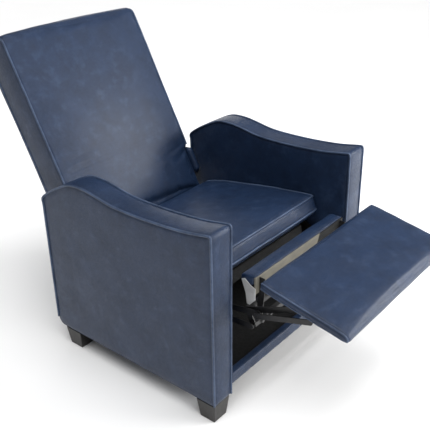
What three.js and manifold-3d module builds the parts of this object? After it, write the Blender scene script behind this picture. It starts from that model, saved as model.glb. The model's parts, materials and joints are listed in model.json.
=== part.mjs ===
// Push-back recliner armchair, reclined, with its footrest out. Millimetres, +Z up, +Y to the rear.
// The whole chair is laid out with y = 0 at the arms' front and z = 0 at the floor, and is centred at the end.
import * as THREE from 'three';
import { mergeVertices } from 'three/addons/utils/BufferGeometryUtils.js';
import Module from 'manifold-3d';

const wasm = await Module();
wasm.setup();

// ---- driving dimensions ----
const WIDTH = 740; // over both arms
const ARM_DEPTH = 650; // front to rear of an arm
const ARM_THICKNESS = 82; // across an arm, at its top
const ARM_TAPER = 7; // how much thinner an arm is at its foot
const ARM_FRONT_HEIGHT = 598; // top of the arm at the front
const ARM_DIP = 24; // the arm top's fall behind the front
const ARM_REAR_DROP = 85; // from the front height to the rear corner
const ARM_WALL = 14; // leather and padding around the arm frame
const FOOT_HEIGHT = 63;
const FOOT_TOP = 66; // square top of a foot
const FOOT_BOTTOM = 52; // square sole of a foot
const FRONT_RAIL_TOP = 130;
const FRONT_RAIL_HEIGHT = 36;
const FRONT_RAIL_DEPTH = 26;
const SEAT_SLOPE = 9.5; // degrees, down to the rear
const SEAT_THICKNESS = 92;
const SEAT_BOXING = 50; // height of the seat's front face
const SEAT_UNDERCUT = 32; // lower front edge, behind the upper one
const SEAT_LENGTH = 474; // front edge to the back
const SEAT_FRONT_Y = 114; // top front edge of the seat
const SEAT_FRONT_Z = 434;
const SEAT_RAIL_HEIGHT = 40;
const SEAT_RAIL_WIDTH = 26;
const BACK_LEAN = 27.5; // degrees from upright
const BACK_LENGTH = 678; // lower edge to top
const BACK_THICKNESS = 122;
const BACK_BELOW_SEAT = 45; // part of the back below the seat's surface
const BACK_WIDTH = 547;
const BACK_NOTCH_WIDTH = 15; // side notch for the hinge, each side
const BACK_NOTCH_HEIGHT = 156;
const BACK_FRAME_SECTION = 30; // stiles and rails of the back frame
const PANEL_LENGTH = 270; // footrest, rear edge to front edge
const PANEL_SLOPE = 11; // degrees, down to the front
const PANEL_REAR_Y = -84;
const PANEL_REAR_Z = 461;
const PANEL_PAD = 26; // thickness of the footrest pad
const PANEL_BOARD = 12;
const BOARD_INSET = 26; // board from the pad's sides and front
const FLAP_WIDTH = 446; // filler flap between the seat and the footrest
const FLAP_DEPTH = 53;
const LINK_WIDTH = 18;
const CONTROL_LINK_WIDTH = 16;
const LINK_THICKNESS = 3;
const PIN_RADIUS = 5;
const WASHER_RADIUS = 9;
const WASHER_THICKNESS = 1.5;
const LINK_INSET = 42; // outermost footrest link, inwards from an arm's inner face
const WIRE_RADIUS = 2; // seat springs

// ---- clearances ----
const TOUCH = 0.3; // between pieces that rest on each other
const ARM_CLEARANCE = 4; // beside a cushion or the footrest, to each arm
const BACK_ARM_CLEARANCE = 14; // beside the back
const SEAT_BACK_GAP = 8; // seat cushion to back cushion
const PIN_CLEARANCE = 0.5;
const PLATE_CLEARANCE = 0.5; // between the back and its hinge plate
const OPEN_PIVOT_GAP = 0.6; // between a link and the pin of a pivot that is left open

// ---- derived places ----
const HALF = WIDTH / 2;
const ARM_INNER = HALF - ARM_THICKNESS; // inner face of an arm at its top
const SEAT_HALF = ARM_INNER - ARM_CLEARANCE;
const BACK_HALF = Math.min(BACK_WIDTH / 2, ARM_INNER - BACK_ARM_CLEARANCE);
const FRONT_TOP = ARM_FRONT_HEIGHT;
const NOTCH_HALF = BACK_HALF - BACK_NOTCH_WIDTH;

// Places across the chair of the layers of the mechanism, from an arm inwards.
const PLATE_X = ARM_INNER - 8; // base plate's inner face
const CONTROL_X = ARM_INNER - LINK_INSET;
const DRIVE_X = CONTROL_X - 6;
const LOWER_X = DRIVE_X - 6;
const UPPER_X = LOWER_X - 6;
const BRACKET_X = UPPER_X - 6;
const BACK_PLATE_X = NOTCH_HALF + PLATE_CLEARANCE; // back's hinge plate, in the notch
const HINGE_X = BACK_PLATE_X + 5;
const REAR_LINK_X = HINGE_X + 8;

const rad = THREE.MathUtils.degToRad;
const v2 = (a, b) => new THREE.Vector2(a, b);

// Local frames in the side view: a point is given along (u) and across (w).
const frameAt = (y, z, uDirection, wDirection) => (u, w) =>
  v2(y + u * uDirection.x + w * wDirection.x, z + u * uDirection.y + w * wDirection.y);
const seatU = v2(Math.cos(rad(SEAT_SLOPE)), -Math.sin(rad(SEAT_SLOPE)));
const seatW = v2(Math.sin(rad(SEAT_SLOPE)), Math.cos(rad(SEAT_SLOPE)));
const seat = frameAt(SEAT_FRONT_Y, SEAT_FRONT_Z, seatU, seatW);
const SEAT_TO_BACK = SEAT_LENGTH + SEAT_BACK_GAP;
const CROWN = 21.5; // the seat's surface above its front edge, where it meets the back
const junction = seat(SEAT_TO_BACK, CROWN);
const backUp = v2(Math.sin(rad(BACK_LEAN)), Math.cos(rad(BACK_LEAN)));
const backOut = v2(Math.cos(rad(BACK_LEAN)), -Math.sin(rad(BACK_LEAN)));
const back = frameAt(junction.x, junction.y, backUp, backOut); // u up the back, w into its thickness
const panelOut = v2(-Math.cos(rad(PANEL_SLOPE)), -Math.sin(rad(PANEL_SLOPE)));
const panelUp = v2(-Math.sin(rad(PANEL_SLOPE)), Math.cos(rad(PANEL_SLOPE)));
const panel = frameAt(PANEL_REAR_Y, PANEL_REAR_Z, panelOut, panelUp);

const SEAT_RAIL_TOP = -SEAT_THICKNESS - TOUCH;
const SEAT_PIVOT_DROP = 16.31; // seat's front pivot below the top of its rails

// Pivots of the mechanism, in the side view.
const pivot = {
  lowerBase: v2(137, 293),
  lowerUpper: v2(-5, 315),
  driveBase: v2(108.12, 268.28),
  seatFront: seat(90.16, SEAT_RAIL_TOP - SEAT_PIVOT_DROP),
  seatBack: back(-5, 60),
  rearBase: v2(584, 315),
};
const FOOTREST_PIN_DROP = 61; // pins below the footrest's top
pivot.upperFootrest = panel(100, -FOOTREST_PIN_DROP);
pivot.controlFootrest = panel(144.3, -FOOTREST_PIN_DROP);
const LOWER_LINK_TAIL = 42; // lower link beyond its pivot to the upper link
const UPPER_LINK_TAIL = 44; // upper link beyond its pivot to the lower link
const TAIL_ANGLE = 242.1; // degrees
pivot.driveUpper = v2(
  pivot.lowerUpper.x + UPPER_LINK_TAIL * Math.cos(rad(TAIL_ANGLE)),
  pivot.lowerUpper.y + UPPER_LINK_TAIL * Math.sin(rad(TAIL_ANGLE)),
);
const lowerDirection = pivot.lowerUpper.clone().sub(pivot.lowerBase).normalize();
pivot.controlLower = pivot.lowerUpper.clone().addScaledVector(lowerDirection, LOWER_LINK_TAIL);
pivot.rearBack = pivot.seatBack.clone().addScaledVector(backOut, 20).addScaledVector(backUp, -70);

// ---- materials ----
const finish = (color, roughness, metalness = 0) =>
  () => new THREE.MeshStandardMaterial({ color, roughness, metalness });
const leather = finish(0x2c3c58, 0.38);
const timber = finish(0xb08d5e, 0.7);
const footWood = finish(0x24211f, 0.45);
const backing = finish(0xb9b4a2, 0.9);
const underCover = finish(0x0c0c0e, 0.95);
const blackSteel = finish(0x161616, 0.5, 0.6);
const platedSteel = finish(0xc9c8c4, 0.3, 0.9);
const springSteel = finish(0x6a6c70, 0.4, 0.9);

const sides = [[-1, 'left'], [1, 'right']];
const chair = new THREE.Group();

function add(name, geometry, material) {
  const mesh = new THREE.Mesh(geometry, material());
  mesh.name = name;
  chair.add(mesh);
}

// ---- shapes ----
// Turns an extrusion (outline in x and y, thickness along z) into the side view: outline in y and z.
const SIDE_VIEW = new THREE.Matrix4().makeBasis(
  new THREE.Vector3(0, 1, 0),
  new THREE.Vector3(0, 0, 1),
  new THREE.Vector3(1, 0, 0),
);

// A side-view outline made solid from x = from to x = to, with its edges rounded by edge.
function slab(outline, from, to, edge = 0, steps = 2) {
  const shape = outline instanceof THREE.Shape ? outline : new THREE.Shape(outline);
  const geometry = new THREE.ExtrudeGeometry(shape, {
    depth: Math.abs(to - from) - 2 * edge,
    bevelEnabled: edge > 0,
    bevelThickness: edge,
    bevelSize: edge,
    bevelOffset: -edge,
    bevelSegments: steps,
    curveSegments: 8,
  });
  geometry.translate(0, 0, Math.min(from, to) + edge);
  return geometry.applyMatrix4(SIDE_VIEW);
}

// The same on one side of the chair: distances are measured outwards from the middle.
const sideSlab = (side, outline, inner, outer, edge = 0, steps = 2) =>
  slab(outline, side * inner, side * outer, edge, steps);

function box(x0, x1, y0, y1, z0, z1) {
  const geometry = new THREE.BoxGeometry(Math.abs(x1 - x0), y1 - y0, z1 - z0);
  return geometry.translate((x0 + x1) / 2, (y0 + y1) / 2, (z0 + z1) / 2);
}

function rod(point, from, to, radius, sides = 12) {
  const geometry = new THREE.CylinderGeometry(radius, radius, Math.abs(to - from), sides);
  geometry.rotateZ(Math.PI / 2);
  return geometry.translate((from + to) / 2, point.x, point.y);
}

function solid(geometry) {
  const bare = geometry.clone();
  bare.deleteAttribute('normal');
  bare.deleteAttribute('uv');
  const merged = mergeVertices(bare, 1e-4);
  return new wasm.Manifold(new wasm.Mesh({
    numProp: 3,
    vertProperties: merged.attributes.position.array,
    triVerts: new Uint32Array(merged.index.array),
  }));
}

function fromSolid(body) {
  const result = body.getMesh();
  const geometry = new THREE.BufferGeometry();
  geometry.setAttribute('position', new THREE.BufferAttribute(result.vertProperties, 3));
  geometry.setIndex(new THREE.BufferAttribute(result.triVerts, 1));
  return geometry;
}

const join = (...parts) => fromSolid(parts.map(solid).reduce((all, part) => all.add(part)));
const cut = (whole, ...tools) =>
  fromSolid(tools.map(solid).reduce((left, tool) => left.subtract(tool), solid(whole)));

// A flat link through two pivots with round ends; holes are the pivots that it turns on.
function linkShape(start, end, width, holes = []) {
  const along = Math.atan2(end.y - start.y, end.x - start.x);
  const shape = new THREE.Shape();
  shape.absarc(end.x, end.y, width / 2, along - Math.PI / 2, along + Math.PI / 2);
  shape.absarc(start.x, start.y, width / 2, along + Math.PI / 2, along + 1.5 * Math.PI);
  for (const point of holes) {
    const hole = new THREE.Path();
    hole.absarc(point.x, point.y, PIN_RADIUS + PIN_CLEARANCE, 0, 2 * Math.PI, true);
    shape.holes.push(hole);
  }
  return shape;
}

const outward = (side, x) => side * x;

// ---- arms ----
function armOutline() {
  const front = FRONT_TOP;
  const shape = new THREE.Shape();
  const corner = 10;
  shape.moveTo(0, FOOT_HEIGHT);
  shape.lineTo(0, front - corner);
  shape.quadraticCurveTo(0, front, corner, front - 1);
  const low = front - ARM_DIP;
  const along = (share) => share * ARM_DEPTH;
  shape.splineThru([
    v2(along(0.146), front - 0.6 * ARM_DIP),
    v2(along(0.33), low + 1),
    v2(along(0.52), low + 1),
    v2(along(0.65), front - 10),
    v2(along(0.72), front - 5),
    v2(along(0.8), front - 9),
    v2(along(0.88), front - 0.38 * ARM_REAR_DROP),
    v2(along(0.95), front - 0.7 * ARM_REAR_DROP),
    v2(ARM_DEPTH, front - ARM_REAR_DROP),
  ]);
  shape.lineTo(ARM_DEPTH, FOOT_HEIGHT + 30);
  shape.quadraticCurveTo(ARM_DEPTH - 2, FOOT_HEIGHT + 2, ARM_DEPTH - 30, FOOT_HEIGHT);
  return shape;
}

// Height of the pocket in the arm's upholstery: it stays under the lowest part of the arm top.
const POCKET_TOP = FRONT_TOP - ARM_REAR_DROP - ARM_WALL;
const ARM_FRAME_INNER = ARM_INNER + ARM_TAPER + ARM_WALL;
const ARM_FRAME_OUTER = HALF - ARM_WALL;

function arm(side, word) {
  const cover = sideSlab(side, armOutline(), ARM_INNER, HALF, 5, 2);
  const position = cover.attributes.position;
  for (let i = 0; i < position.count; i += 1) {
    const x = Math.abs(position.getX(i));
    const across = (HALF - x) / ARM_THICKNESS;
    const down = (FRONT_TOP - position.getZ(i)) / (FRONT_TOP - FOOT_HEIGHT);
    position.setX(i, side * (x + ARM_TAPER * across * down));
  }
  const pocket = box(
    outward(side, ARM_FRAME_INNER), outward(side, ARM_FRAME_OUTER),
    ARM_WALL, ARM_DEPTH - ARM_WALL, 0, POCKET_TOP,
  );
  add(`arm_cover_${word}`, cut(cover, pocket), leather);

  const y0 = ARM_WALL + TOUCH;
  const y1 = ARM_DEPTH - ARM_WALL - TOUCH;
  const z0 = FOOT_HEIGHT + 1;
  const z1 = POCKET_TOP - TOUCH;
  const inner = outward(side, ARM_FRAME_INNER + TOUCH);
  const outer = outward(side, ARM_FRAME_OUTER - TOUCH);
  add(`arm_frame_${word}`, box(inner, outer, y0, y1, z0, z1), timber);
}

// ---- feet ----
const FOOT_INSET = 2; // foot's top from the arm's outer face and front
const REAR_FOOT_INSET = 32; // foot's top from the arm's rear

function foot(side, word, middleY) {
  const scale = FOOT_BOTTOM / FOOT_TOP;
  const top = FOOT_HEIGHT - TOUCH;
  const geometry = new THREE.BoxGeometry(FOOT_TOP, FOOT_TOP, top);
  geometry.translate(0, 0, top / 2);
  const position = geometry.attributes.position;
  for (let i = 0; i < position.count; i += 1) {
    if (position.getZ(i) < top / 2) {
      position.setX(i, position.getX(i) * scale);
      position.setY(i, position.getY(i) * scale);
    }
  }
  geometry.translate(side * (HALF - FOOT_INSET - FOOT_TOP / 2), middleY, 0);
  add(`foot_${word}`, geometry, footWood);
}

// ---- rails and panels between the arms ----
const RAIL_WALL = 4;

// Half the gap between the arms at a height: the arms taper, so it widens towards the floor.
const armInnerAt = (z) => ARM_INNER + (ARM_TAPER * (FRONT_TOP - z)) / (FRONT_TOP - FOOT_HEIGHT);
const reachAt = (top) => armInnerAt(top) - TOUCH;

function frontRail() {
  const z0 = FRONT_RAIL_TOP - FRONT_RAIL_HEIGHT;
  const half = reachAt(FRONT_RAIL_TOP);
  const outer = slab([
    v2(0, z0), v2(FRONT_RAIL_DEPTH, z0), v2(FRONT_RAIL_DEPTH, FRONT_RAIL_TOP), v2(0, FRONT_RAIL_TOP),
  ], -half, half, 3);
  const coreDepth = FRONT_RAIL_DEPTH - RAIL_WALL;
  const coreTop = FRONT_RAIL_TOP - RAIL_WALL;
  const channel = box(-WIDTH, WIDTH, RAIL_WALL, coreDepth, z0 - 10, coreTop);
  add('front_rail_cover', cut(outer, channel), leather);
  const core = box(-half, half, RAIL_WALL + TOUCH, coreDepth - TOUCH, z0, coreTop - TOUCH);
  add('front_rail', core, timber);
}

const REAR_PANEL_TOP = 240;
const REAR_PANEL_Y = ARM_DEPTH - 20;

function rearPanel() {
  const rail = { depth: 24, height: 60, z: FOOT_HEIGHT + 20 };
  const railY = REAR_PANEL_Y - TOUCH - rail.depth;
  const half = reachAt(REAR_PANEL_TOP);
  add('rear_rail', box(-half, half, railY, railY + rail.depth, rail.z, rail.z + rail.height), timber);
  const panelSlab = slab([
    v2(REAR_PANEL_Y, rail.z), v2(REAR_PANEL_Y + 12, rail.z),
    v2(REAR_PANEL_Y + 12, REAR_PANEL_TOP), v2(REAR_PANEL_Y, REAR_PANEL_TOP),
  ], -half, half, 3);
  add('rear_panel', panelSlab, leather);
}

function dustCover() {
  const half = reachAt(80);
  const sheet = box(-half, half, FRONT_RAIL_DEPTH + TOUCH, REAR_PANEL_Y - 25, 78, 80);
  add('dust_cover', sheet, underCover);
}

// ---- seat ----
const CUSHION_RISE = 7; // crown of the seat above its front edge
const REAR_CUT = 7; // seat's rear face short of its full length

function seatCushion() {
  const radius = 16;
  const lean = Math.tan(rad(BACK_LEAN - SEAT_SLOPE)) * SEAT_THICKNESS;
  const corner = seat(radius, 0);
  const front = seat(0, 0);
  const below = seat(-2, -radius);
  const shape = new THREE.Shape();
  shape.moveTo(corner.x, corner.y);
  shape.quadraticCurveTo(front.x, front.y, below.x, below.y);
  const rest = [
    seat(-10, -SEAT_BOXING), seat(-2, -SEAT_BOXING - 12), seat(SEAT_UNDERCUT, -SEAT_THICKNESS),
    seat(SEAT_LENGTH - lean - REAR_CUT, -SEAT_THICKNESS), seat(SEAT_LENGTH - REAR_CUT, 0),
    seat(SEAT_LENGTH * 0.8, CUSHION_RISE), seat(SEAT_LENGTH * 0.3, CUSHION_RISE),
  ];
  for (const point of rest) shape.lineTo(point.x, point.y);
  add('seat_cushion', slab(shape, -SEAT_HALF, SEAT_HALF, 8), leather);
}

const SEAT_FRAME_HALF = HINGE_X - TOUCH;
const SEAT_FRAME_FRONT = 30;
const SEAT_FRAME_REAR = 396;
const LINK_ROOM = 22; // the rails' outer layer stops this far behind the front rail, for the links

const seatRail = (u0, u1) => [
  seat(u0, SEAT_RAIL_TOP - SEAT_RAIL_HEIGHT), seat(u1, SEAT_RAIL_TOP - SEAT_RAIL_HEIGHT),
  seat(u1, SEAT_RAIL_TOP), seat(u0, SEAT_RAIL_TOP),
];

function seatFrame() {
  const w = SEAT_RAIL_WIDTH;
  const inner = SEAT_FRAME_HALF - w;
  const frontHalf = LOWER_X - 4; // clear of the lower links' pivots
  const frontBar = seatRail(SEAT_FRAME_FRONT, SEAT_FRAME_FRONT + w);
  const rearBar = seatRail(SEAT_FRAME_REAR, SEAT_FRAME_REAR + w);
  add('seat_rail_front', slab(frontBar, -frontHalf, frontHalf), timber);
  add('seat_rail_rear', slab(rearBar, -SEAT_FRAME_HALF, SEAT_FRAME_HALF), timber);
  const inboard = seatRail(SEAT_FRAME_FRONT + w + TOUCH, SEAT_FRAME_REAR - TOUCH);
  const outboard = seatRail(SEAT_FRAME_FRONT + w + LINK_ROOM, SEAT_FRAME_REAR - TOUCH);
  for (const [side, word] of sides) {
    const rail = join(
      sideSlab(side, inboard, inner - w, inner),
      sideSlab(side, outboard, inner - 1, SEAT_FRAME_HALF),
    );
    const boreRadius = PIN_RADIUS + PIN_CLEARANCE;
    const hole = rod(pivot.seatFront, outward(side, inner), outward(side, HALF), boreRadius);
    add(`seat_rail_${word}`, cut(rail, hole), timber);
  }
}

// A wire that zigzags from the front rail to the rear rail.
function seatSpring(index, x) {
  const start = SEAT_FRAME_FRONT + SEAT_RAIL_WIDTH + WIRE_RADIUS;
  const end = SEAT_FRAME_REAR - WIRE_RADIUS;
  const waves = 9;
  const reach = 22;
  const level = SEAT_RAIL_TOP - 6;
  const points = [];
  for (let i = 0; i <= 2 * waves; i += 1) {
    const place = seat(start + ((end - start) * i) / (2 * waves), level);
    points.push(new THREE.Vector3(x + (i % 2 ? reach : -reach), place.x, place.y));
  }
  const circle = new THREE.Shape();
  circle.absarc(0, 0, WIRE_RADIUS, 0, 2 * Math.PI);
  const wire = new THREE.ExtrudeGeometry(circle, {
    steps: 4 * waves,
    curveSegments: 3,
    extrudePath: new THREE.CatmullRomCurve3(points),
  });
  add(`seat_spring_${index}`, wire, springSteel);
}

// Plate that carries the back's hinge, on the outside of the seat's side rail.
function seatHingePlate(side, word) {
  const p = pivot.seatBack;
  const r = 15;
  const shape = new THREE.Shape();
  const path = [
    seat(330, SEAT_RAIL_TOP - 34), seat(440, SEAT_RAIL_TOP - 34), seat(500, SEAT_RAIL_TOP + 4),
    back(-38, 78), v2(p.x + r * 0.9, p.y - r * 0.5), v2(p.x + r * 0.5, p.y + r * 0.9),
    v2(p.x - r * 0.5, p.y + r * 0.9), v2(p.x - r, p.y), seat(462, SEAT_RAIL_TOP + 8),
    seat(430, SEAT_RAIL_TOP - 4), seat(330, SEAT_RAIL_TOP - 4),
  ];
  shape.moveTo(path[0].x, path[0].y);
  for (const point of path.slice(1)) shape.lineTo(point.x, point.y);
  const hole = new THREE.Path();
  hole.absarc(p.x, p.y, PIN_RADIUS + PIN_CLEARANCE, 0, 2 * Math.PI, true);
  shape.holes.push(hole);
  add(`seat_hinge_plate_${word}`, sideSlab(side, shape, HINGE_X, HINGE_X + LINK_THICKNESS), blackSteel);
}

// ---- back ----
const BACK_TOP = BACK_LENGTH - BACK_BELOW_SEAT;
const BACK_PANEL = 8;

function backCushion() {
  const t = BACK_THICKNESS - BACK_PANEL - TOUCH;
  const shape = new THREE.Shape();
  const r = 26;
  const start = back(-BACK_BELOW_SEAT, 0);
  const near = back(BACK_TOP - r, 0);
  const corner = back(BACK_TOP, 0);
  const over = back(BACK_TOP, r);
  shape.moveTo(start.x, start.y);
  shape.lineTo(near.x, near.y);
  shape.quadraticCurveTo(corner.x, corner.y, over.x, over.y);
  for (const point of [back(BACK_TOP, t), back(-BACK_BELOW_SEAT, t)]) shape.lineTo(point.x, point.y);
  const whole = slab(shape, -BACK_HALF, BACK_HALF, 6);
  const pocket = slab(
    [back(-20, 70), back(BACK_TOP - 25, 70), back(BACK_TOP - 25, t + 40), back(-20, t + 40)],
    -BACK_FRAME_HALF - TOUCH, BACK_FRAME_HALF + TOUCH,
  );
  const notch = (side) => sideSlab(side, [
    back(-BACK_BELOW_SEAT - 20, -20), back(BACK_NOTCH_HEIGHT - BACK_BELOW_SEAT, -20),
    back(BACK_NOTCH_HEIGHT - BACK_BELOW_SEAT, t + 40), back(-BACK_BELOW_SEAT - 20, t + 40),
  ], NOTCH_HALF, HALF);
  add('back_cushion', cut(whole, pocket, notch(1), notch(-1)), leather);
}

const BACK_FRAME_HALF = NOTCH_HALF - 10;

function backFrame() {
  const s = BACK_FRAME_SECTION;
  const w0 = 70 + TOUCH;
  const w1 = w0 + s;
  const u0 = -20 + TOUCH;
  const u1 = BACK_TOP - 25 - TOUCH;
  const bar = (from, to) => [back(from, w0), back(to, w0), back(to, w1), back(from, w1)];
  add('back_rail_lower', slab(bar(u0, u0 + s), -BACK_FRAME_HALF, BACK_FRAME_HALF), timber);
  add('back_rail_upper', slab(bar(u1 - s, u1), -BACK_FRAME_HALF, BACK_FRAME_HALF), timber);
  for (const [side, word] of sides) {
    const stile = bar(u0 + s + TOUCH, u1 - s - TOUCH);
    add(`back_stile_${word}`, sideSlab(side, stile, BACK_FRAME_HALF - s, BACK_FRAME_HALF), timber);
  }
}

function backPanel() {
  const w0 = BACK_THICKNESS - BACK_PANEL;
  const u0 = -BACK_BELOW_SEAT + 4;
  const u1 = BACK_TOP - 4;
  const outline = [
    back(u0, w0), back(u1, w0), back(u1, BACK_THICKNESS), back(u0, BACK_THICKNESS),
  ];
  const plate = slab(outline, -BACK_HALF + 4, BACK_HALF - 4, 2);
  const notch = (side) => sideSlab(side, [
    back(u0 - 20, w0 - 20), back(BACK_NOTCH_HEIGHT - BACK_BELOW_SEAT, w0 - 20),
    back(BACK_NOTCH_HEIGHT - BACK_BELOW_SEAT, w0 + 40), back(u0 - 20, w0 + 40),
  ], NOTCH_HALF, HALF);
  add('back_outer_panel', cut(plate, notch(1), notch(-1)), leather);
}

// Rolled leather ear that closes the front of the hinge notch.
function backEar(side, word) {
  const outline = [
    back(16, -4), back(BACK_NOTCH_HEIGHT - BACK_BELOW_SEAT - 2, 0),
    back(BACK_NOTCH_HEIGHT - BACK_BELOW_SEAT - 2, 24), back(16, 24),
  ];
  add(`back_ear_${word}`, sideSlab(side, outline, NOTCH_HALF + 3, ARM_INNER - ARM_CLEARANCE, 3), leather);
}

function backHingePlate(side, word) {
  const p = pivot.seatBack;
  const low = pivot.rearBack;
  const inner = BACK_PLATE_X;
  const outer = inner + LINK_THICKNESS;
  const upper = linkShape(p, back(88, 66), 34);
  const lower = linkShape(p, low, 26);
  add(`back_hinge_plate_${word}`, join(
    sideSlab(side, upper, inner, outer),
    sideSlab(side, lower, inner, outer),
    rod(p, outward(side, inner + 1), outward(side, HINGE_X + LINK_THICKNESS + 2), PIN_RADIUS),
    rod(p, outward(side, HINGE_X + LINK_THICKNESS + 0.5), outward(side, HINGE_X + 6), PIN_RADIUS + 4),
    rod(low, outward(side, inner + 1), outward(side, REAR_LINK_X - OPEN_PIVOT_GAP), PIN_RADIUS),
  ), blackSteel);
}

function rearLink(side, word) {
  const shape = linkShape(pivot.rearBase, pivot.rearBack, LINK_WIDTH, [pivot.rearBase]);
  add(`rear_link_${word}`, sideSlab(side, shape, REAR_LINK_X, REAR_LINK_X + LINK_THICKNESS), blackSteel);
}

// ---- base plates of the mechanism ----
// A point below the seat cushion's underside.
const underSeat = (u, drop) => seat(u, -SEAT_THICKNESS - drop);

function basePlate(side, word) {
  const inner = PLATE_X;
  const outer = PLATE_X + LINK_THICKNESS;
  const pinEnd = outward(side, inner + 1);
  const outline = [
    v2(84, 246), v2(150, 238), v2(480, 210), v2(596, 292), v2(602, 330), v2(575, 336), v2(552, 284),
    underSeat(429.8, 16.5), underSeat(207.2, 19.3), underSeat(103.6, 6.2), underSeat(53.3, 8.6), v2(84, 300),
  ];
  const tip = (point, reach) => [
    rod(point, outward(side, reach), pinEnd, PIN_RADIUS),
    rod(point, outward(side, reach), outward(side, reach - WASHER_THICKNESS), WASHER_RADIUS),
  ];
  const standoff = (y, z) =>
    rod(v2(y, z), outward(side, outer - 1), outward(side, armInnerAt(z + 7) - TOUCH), 7);
  add(`base_plate_${word}`, join(
    sideSlab(side, outline, inner, outer),
    ...tip(pivot.lowerBase, LOWER_X - PIN_CLEARANCE),
    ...tip(pivot.driveBase, DRIVE_X - PIN_CLEARANCE),
    ...tip(pivot.rearBase, REAR_LINK_X - PIN_CLEARANCE),
    rod(pivot.seatFront, outward(side, SEAT_FRAME_HALF - 20), pinEnd, PIN_RADIUS),
    standoff(230, 260),
    standoff(450, 235),
  ), blackSteel);
}

// ---- footrest linkage ----
const TUBE_RADIUS = 11;
const CROSS_BAR = 15; // square section

// Both lower links and the round cross tube that ties them are separate pieces of one moving body.
function lowerLinks() {
  for (const [side, word] of sides) {
    const shape = linkShape(pivot.lowerBase, pivot.controlLower, LINK_WIDTH, [pivot.lowerBase]);
    const root = outward(side, LOWER_X + 1);
    const pinTip = outward(side, CONTROL_X + LINK_THICKNESS);
    const spacerTip = outward(side, UPPER_X + LINK_THICKNESS + 0.4);
    add(`lower_link_${word}`, join(
      sideSlab(side, shape, LOWER_X, LOWER_X + LINK_THICKNESS),
      rod(pivot.controlLower, root, pinTip, PIN_RADIUS),
      rod(pivot.lowerUpper, spacerTip, root, PIN_RADIUS + 2),
    ), blackSteel);
  }
  const reach = UPPER_X + LINK_THICKNESS + 0.1;
  add('cross_tube_upper', join(
    rod(pivot.lowerUpper, -reach, reach, PIN_RADIUS, 16),
    rod(pivot.lowerUpper, -(UPPER_X - 0.6), UPPER_X - 0.6, TUBE_RADIUS, 16),
  ), blackSteel);
}

function upperLinks() {
  for (const [side, word] of sides) {
    const inner = UPPER_X;
    const outer = UPPER_X + LINK_THICKNESS;
    const holes = [pivot.lowerUpper];
    const long = linkShape(pivot.lowerUpper, pivot.upperFootrest, LINK_WIDTH, holes);
    const short = linkShape(pivot.driveUpper, pivot.lowerUpper, LINK_WIDTH, holes);
    const openTip = outward(side, LOWER_X - OPEN_PIVOT_GAP);
    const spacerTip = outward(side, BRACKET_X + LINK_THICKNESS + 0.8);
    const root = outward(side, inner + 1);
    add(`upper_link_${word}`, join(
      sideSlab(side, long, inner, outer),
      sideSlab(side, short, inner, outer),
      rod(pivot.driveUpper, outward(side, outer - 1), openTip, PIN_RADIUS + 3),
      rod(pivot.upperFootrest, spacerTip, root, PIN_RADIUS + 3),
      rod(pivot.upperFootrest, outward(side, BRACKET_X - 1), root, PIN_RADIUS),
    ), blackSteel);
  }
  const half = UPPER_X - TOUCH;
  const size = CROSS_BAR;
  const bar = pivot.driveUpper;
  add('cross_bar_lower', slab([
    v2(bar.x - size / 2, bar.y - size / 2), v2(bar.x + size / 2, bar.y - size / 2),
    v2(bar.x + size / 2, bar.y + size / 2), v2(bar.x - size / 2, bar.y + size / 2),
  ], -half, half), blackSteel);
}

function driveLink(side, word) {
  const shape = linkShape(pivot.driveBase, pivot.driveUpper, LINK_WIDTH, [pivot.driveBase]);
  add(`drive_link_${word}`, sideSlab(side, shape, DRIVE_X, DRIVE_X + LINK_THICKNESS), blackSteel);
}

function controlLink(side, word) {
  const ends = [pivot.controlLower, pivot.controlFootrest];
  const shape = linkShape(...ends, CONTROL_LINK_WIDTH, [pivot.controlLower]);
  add(`control_link_${word}`, sideSlab(side, shape, CONTROL_X, CONTROL_X + LINK_THICKNESS), blackSteel);
}

// ---- filler flap, carried by the upper links ----
const FLAP_FRONT = -26;
const FLAP_TOP = 421;
const FLAP_BOARD = 6;
const FLAP_BOARD_BOTTOM = 366;
const FLAP_PAD_BOTTOM = 390;
const FLAP_BRACKET_INSET = 17; // flap's brackets, inwards from its ends
const FLAP_PLATE = 2; // thickness of its end plates

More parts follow.
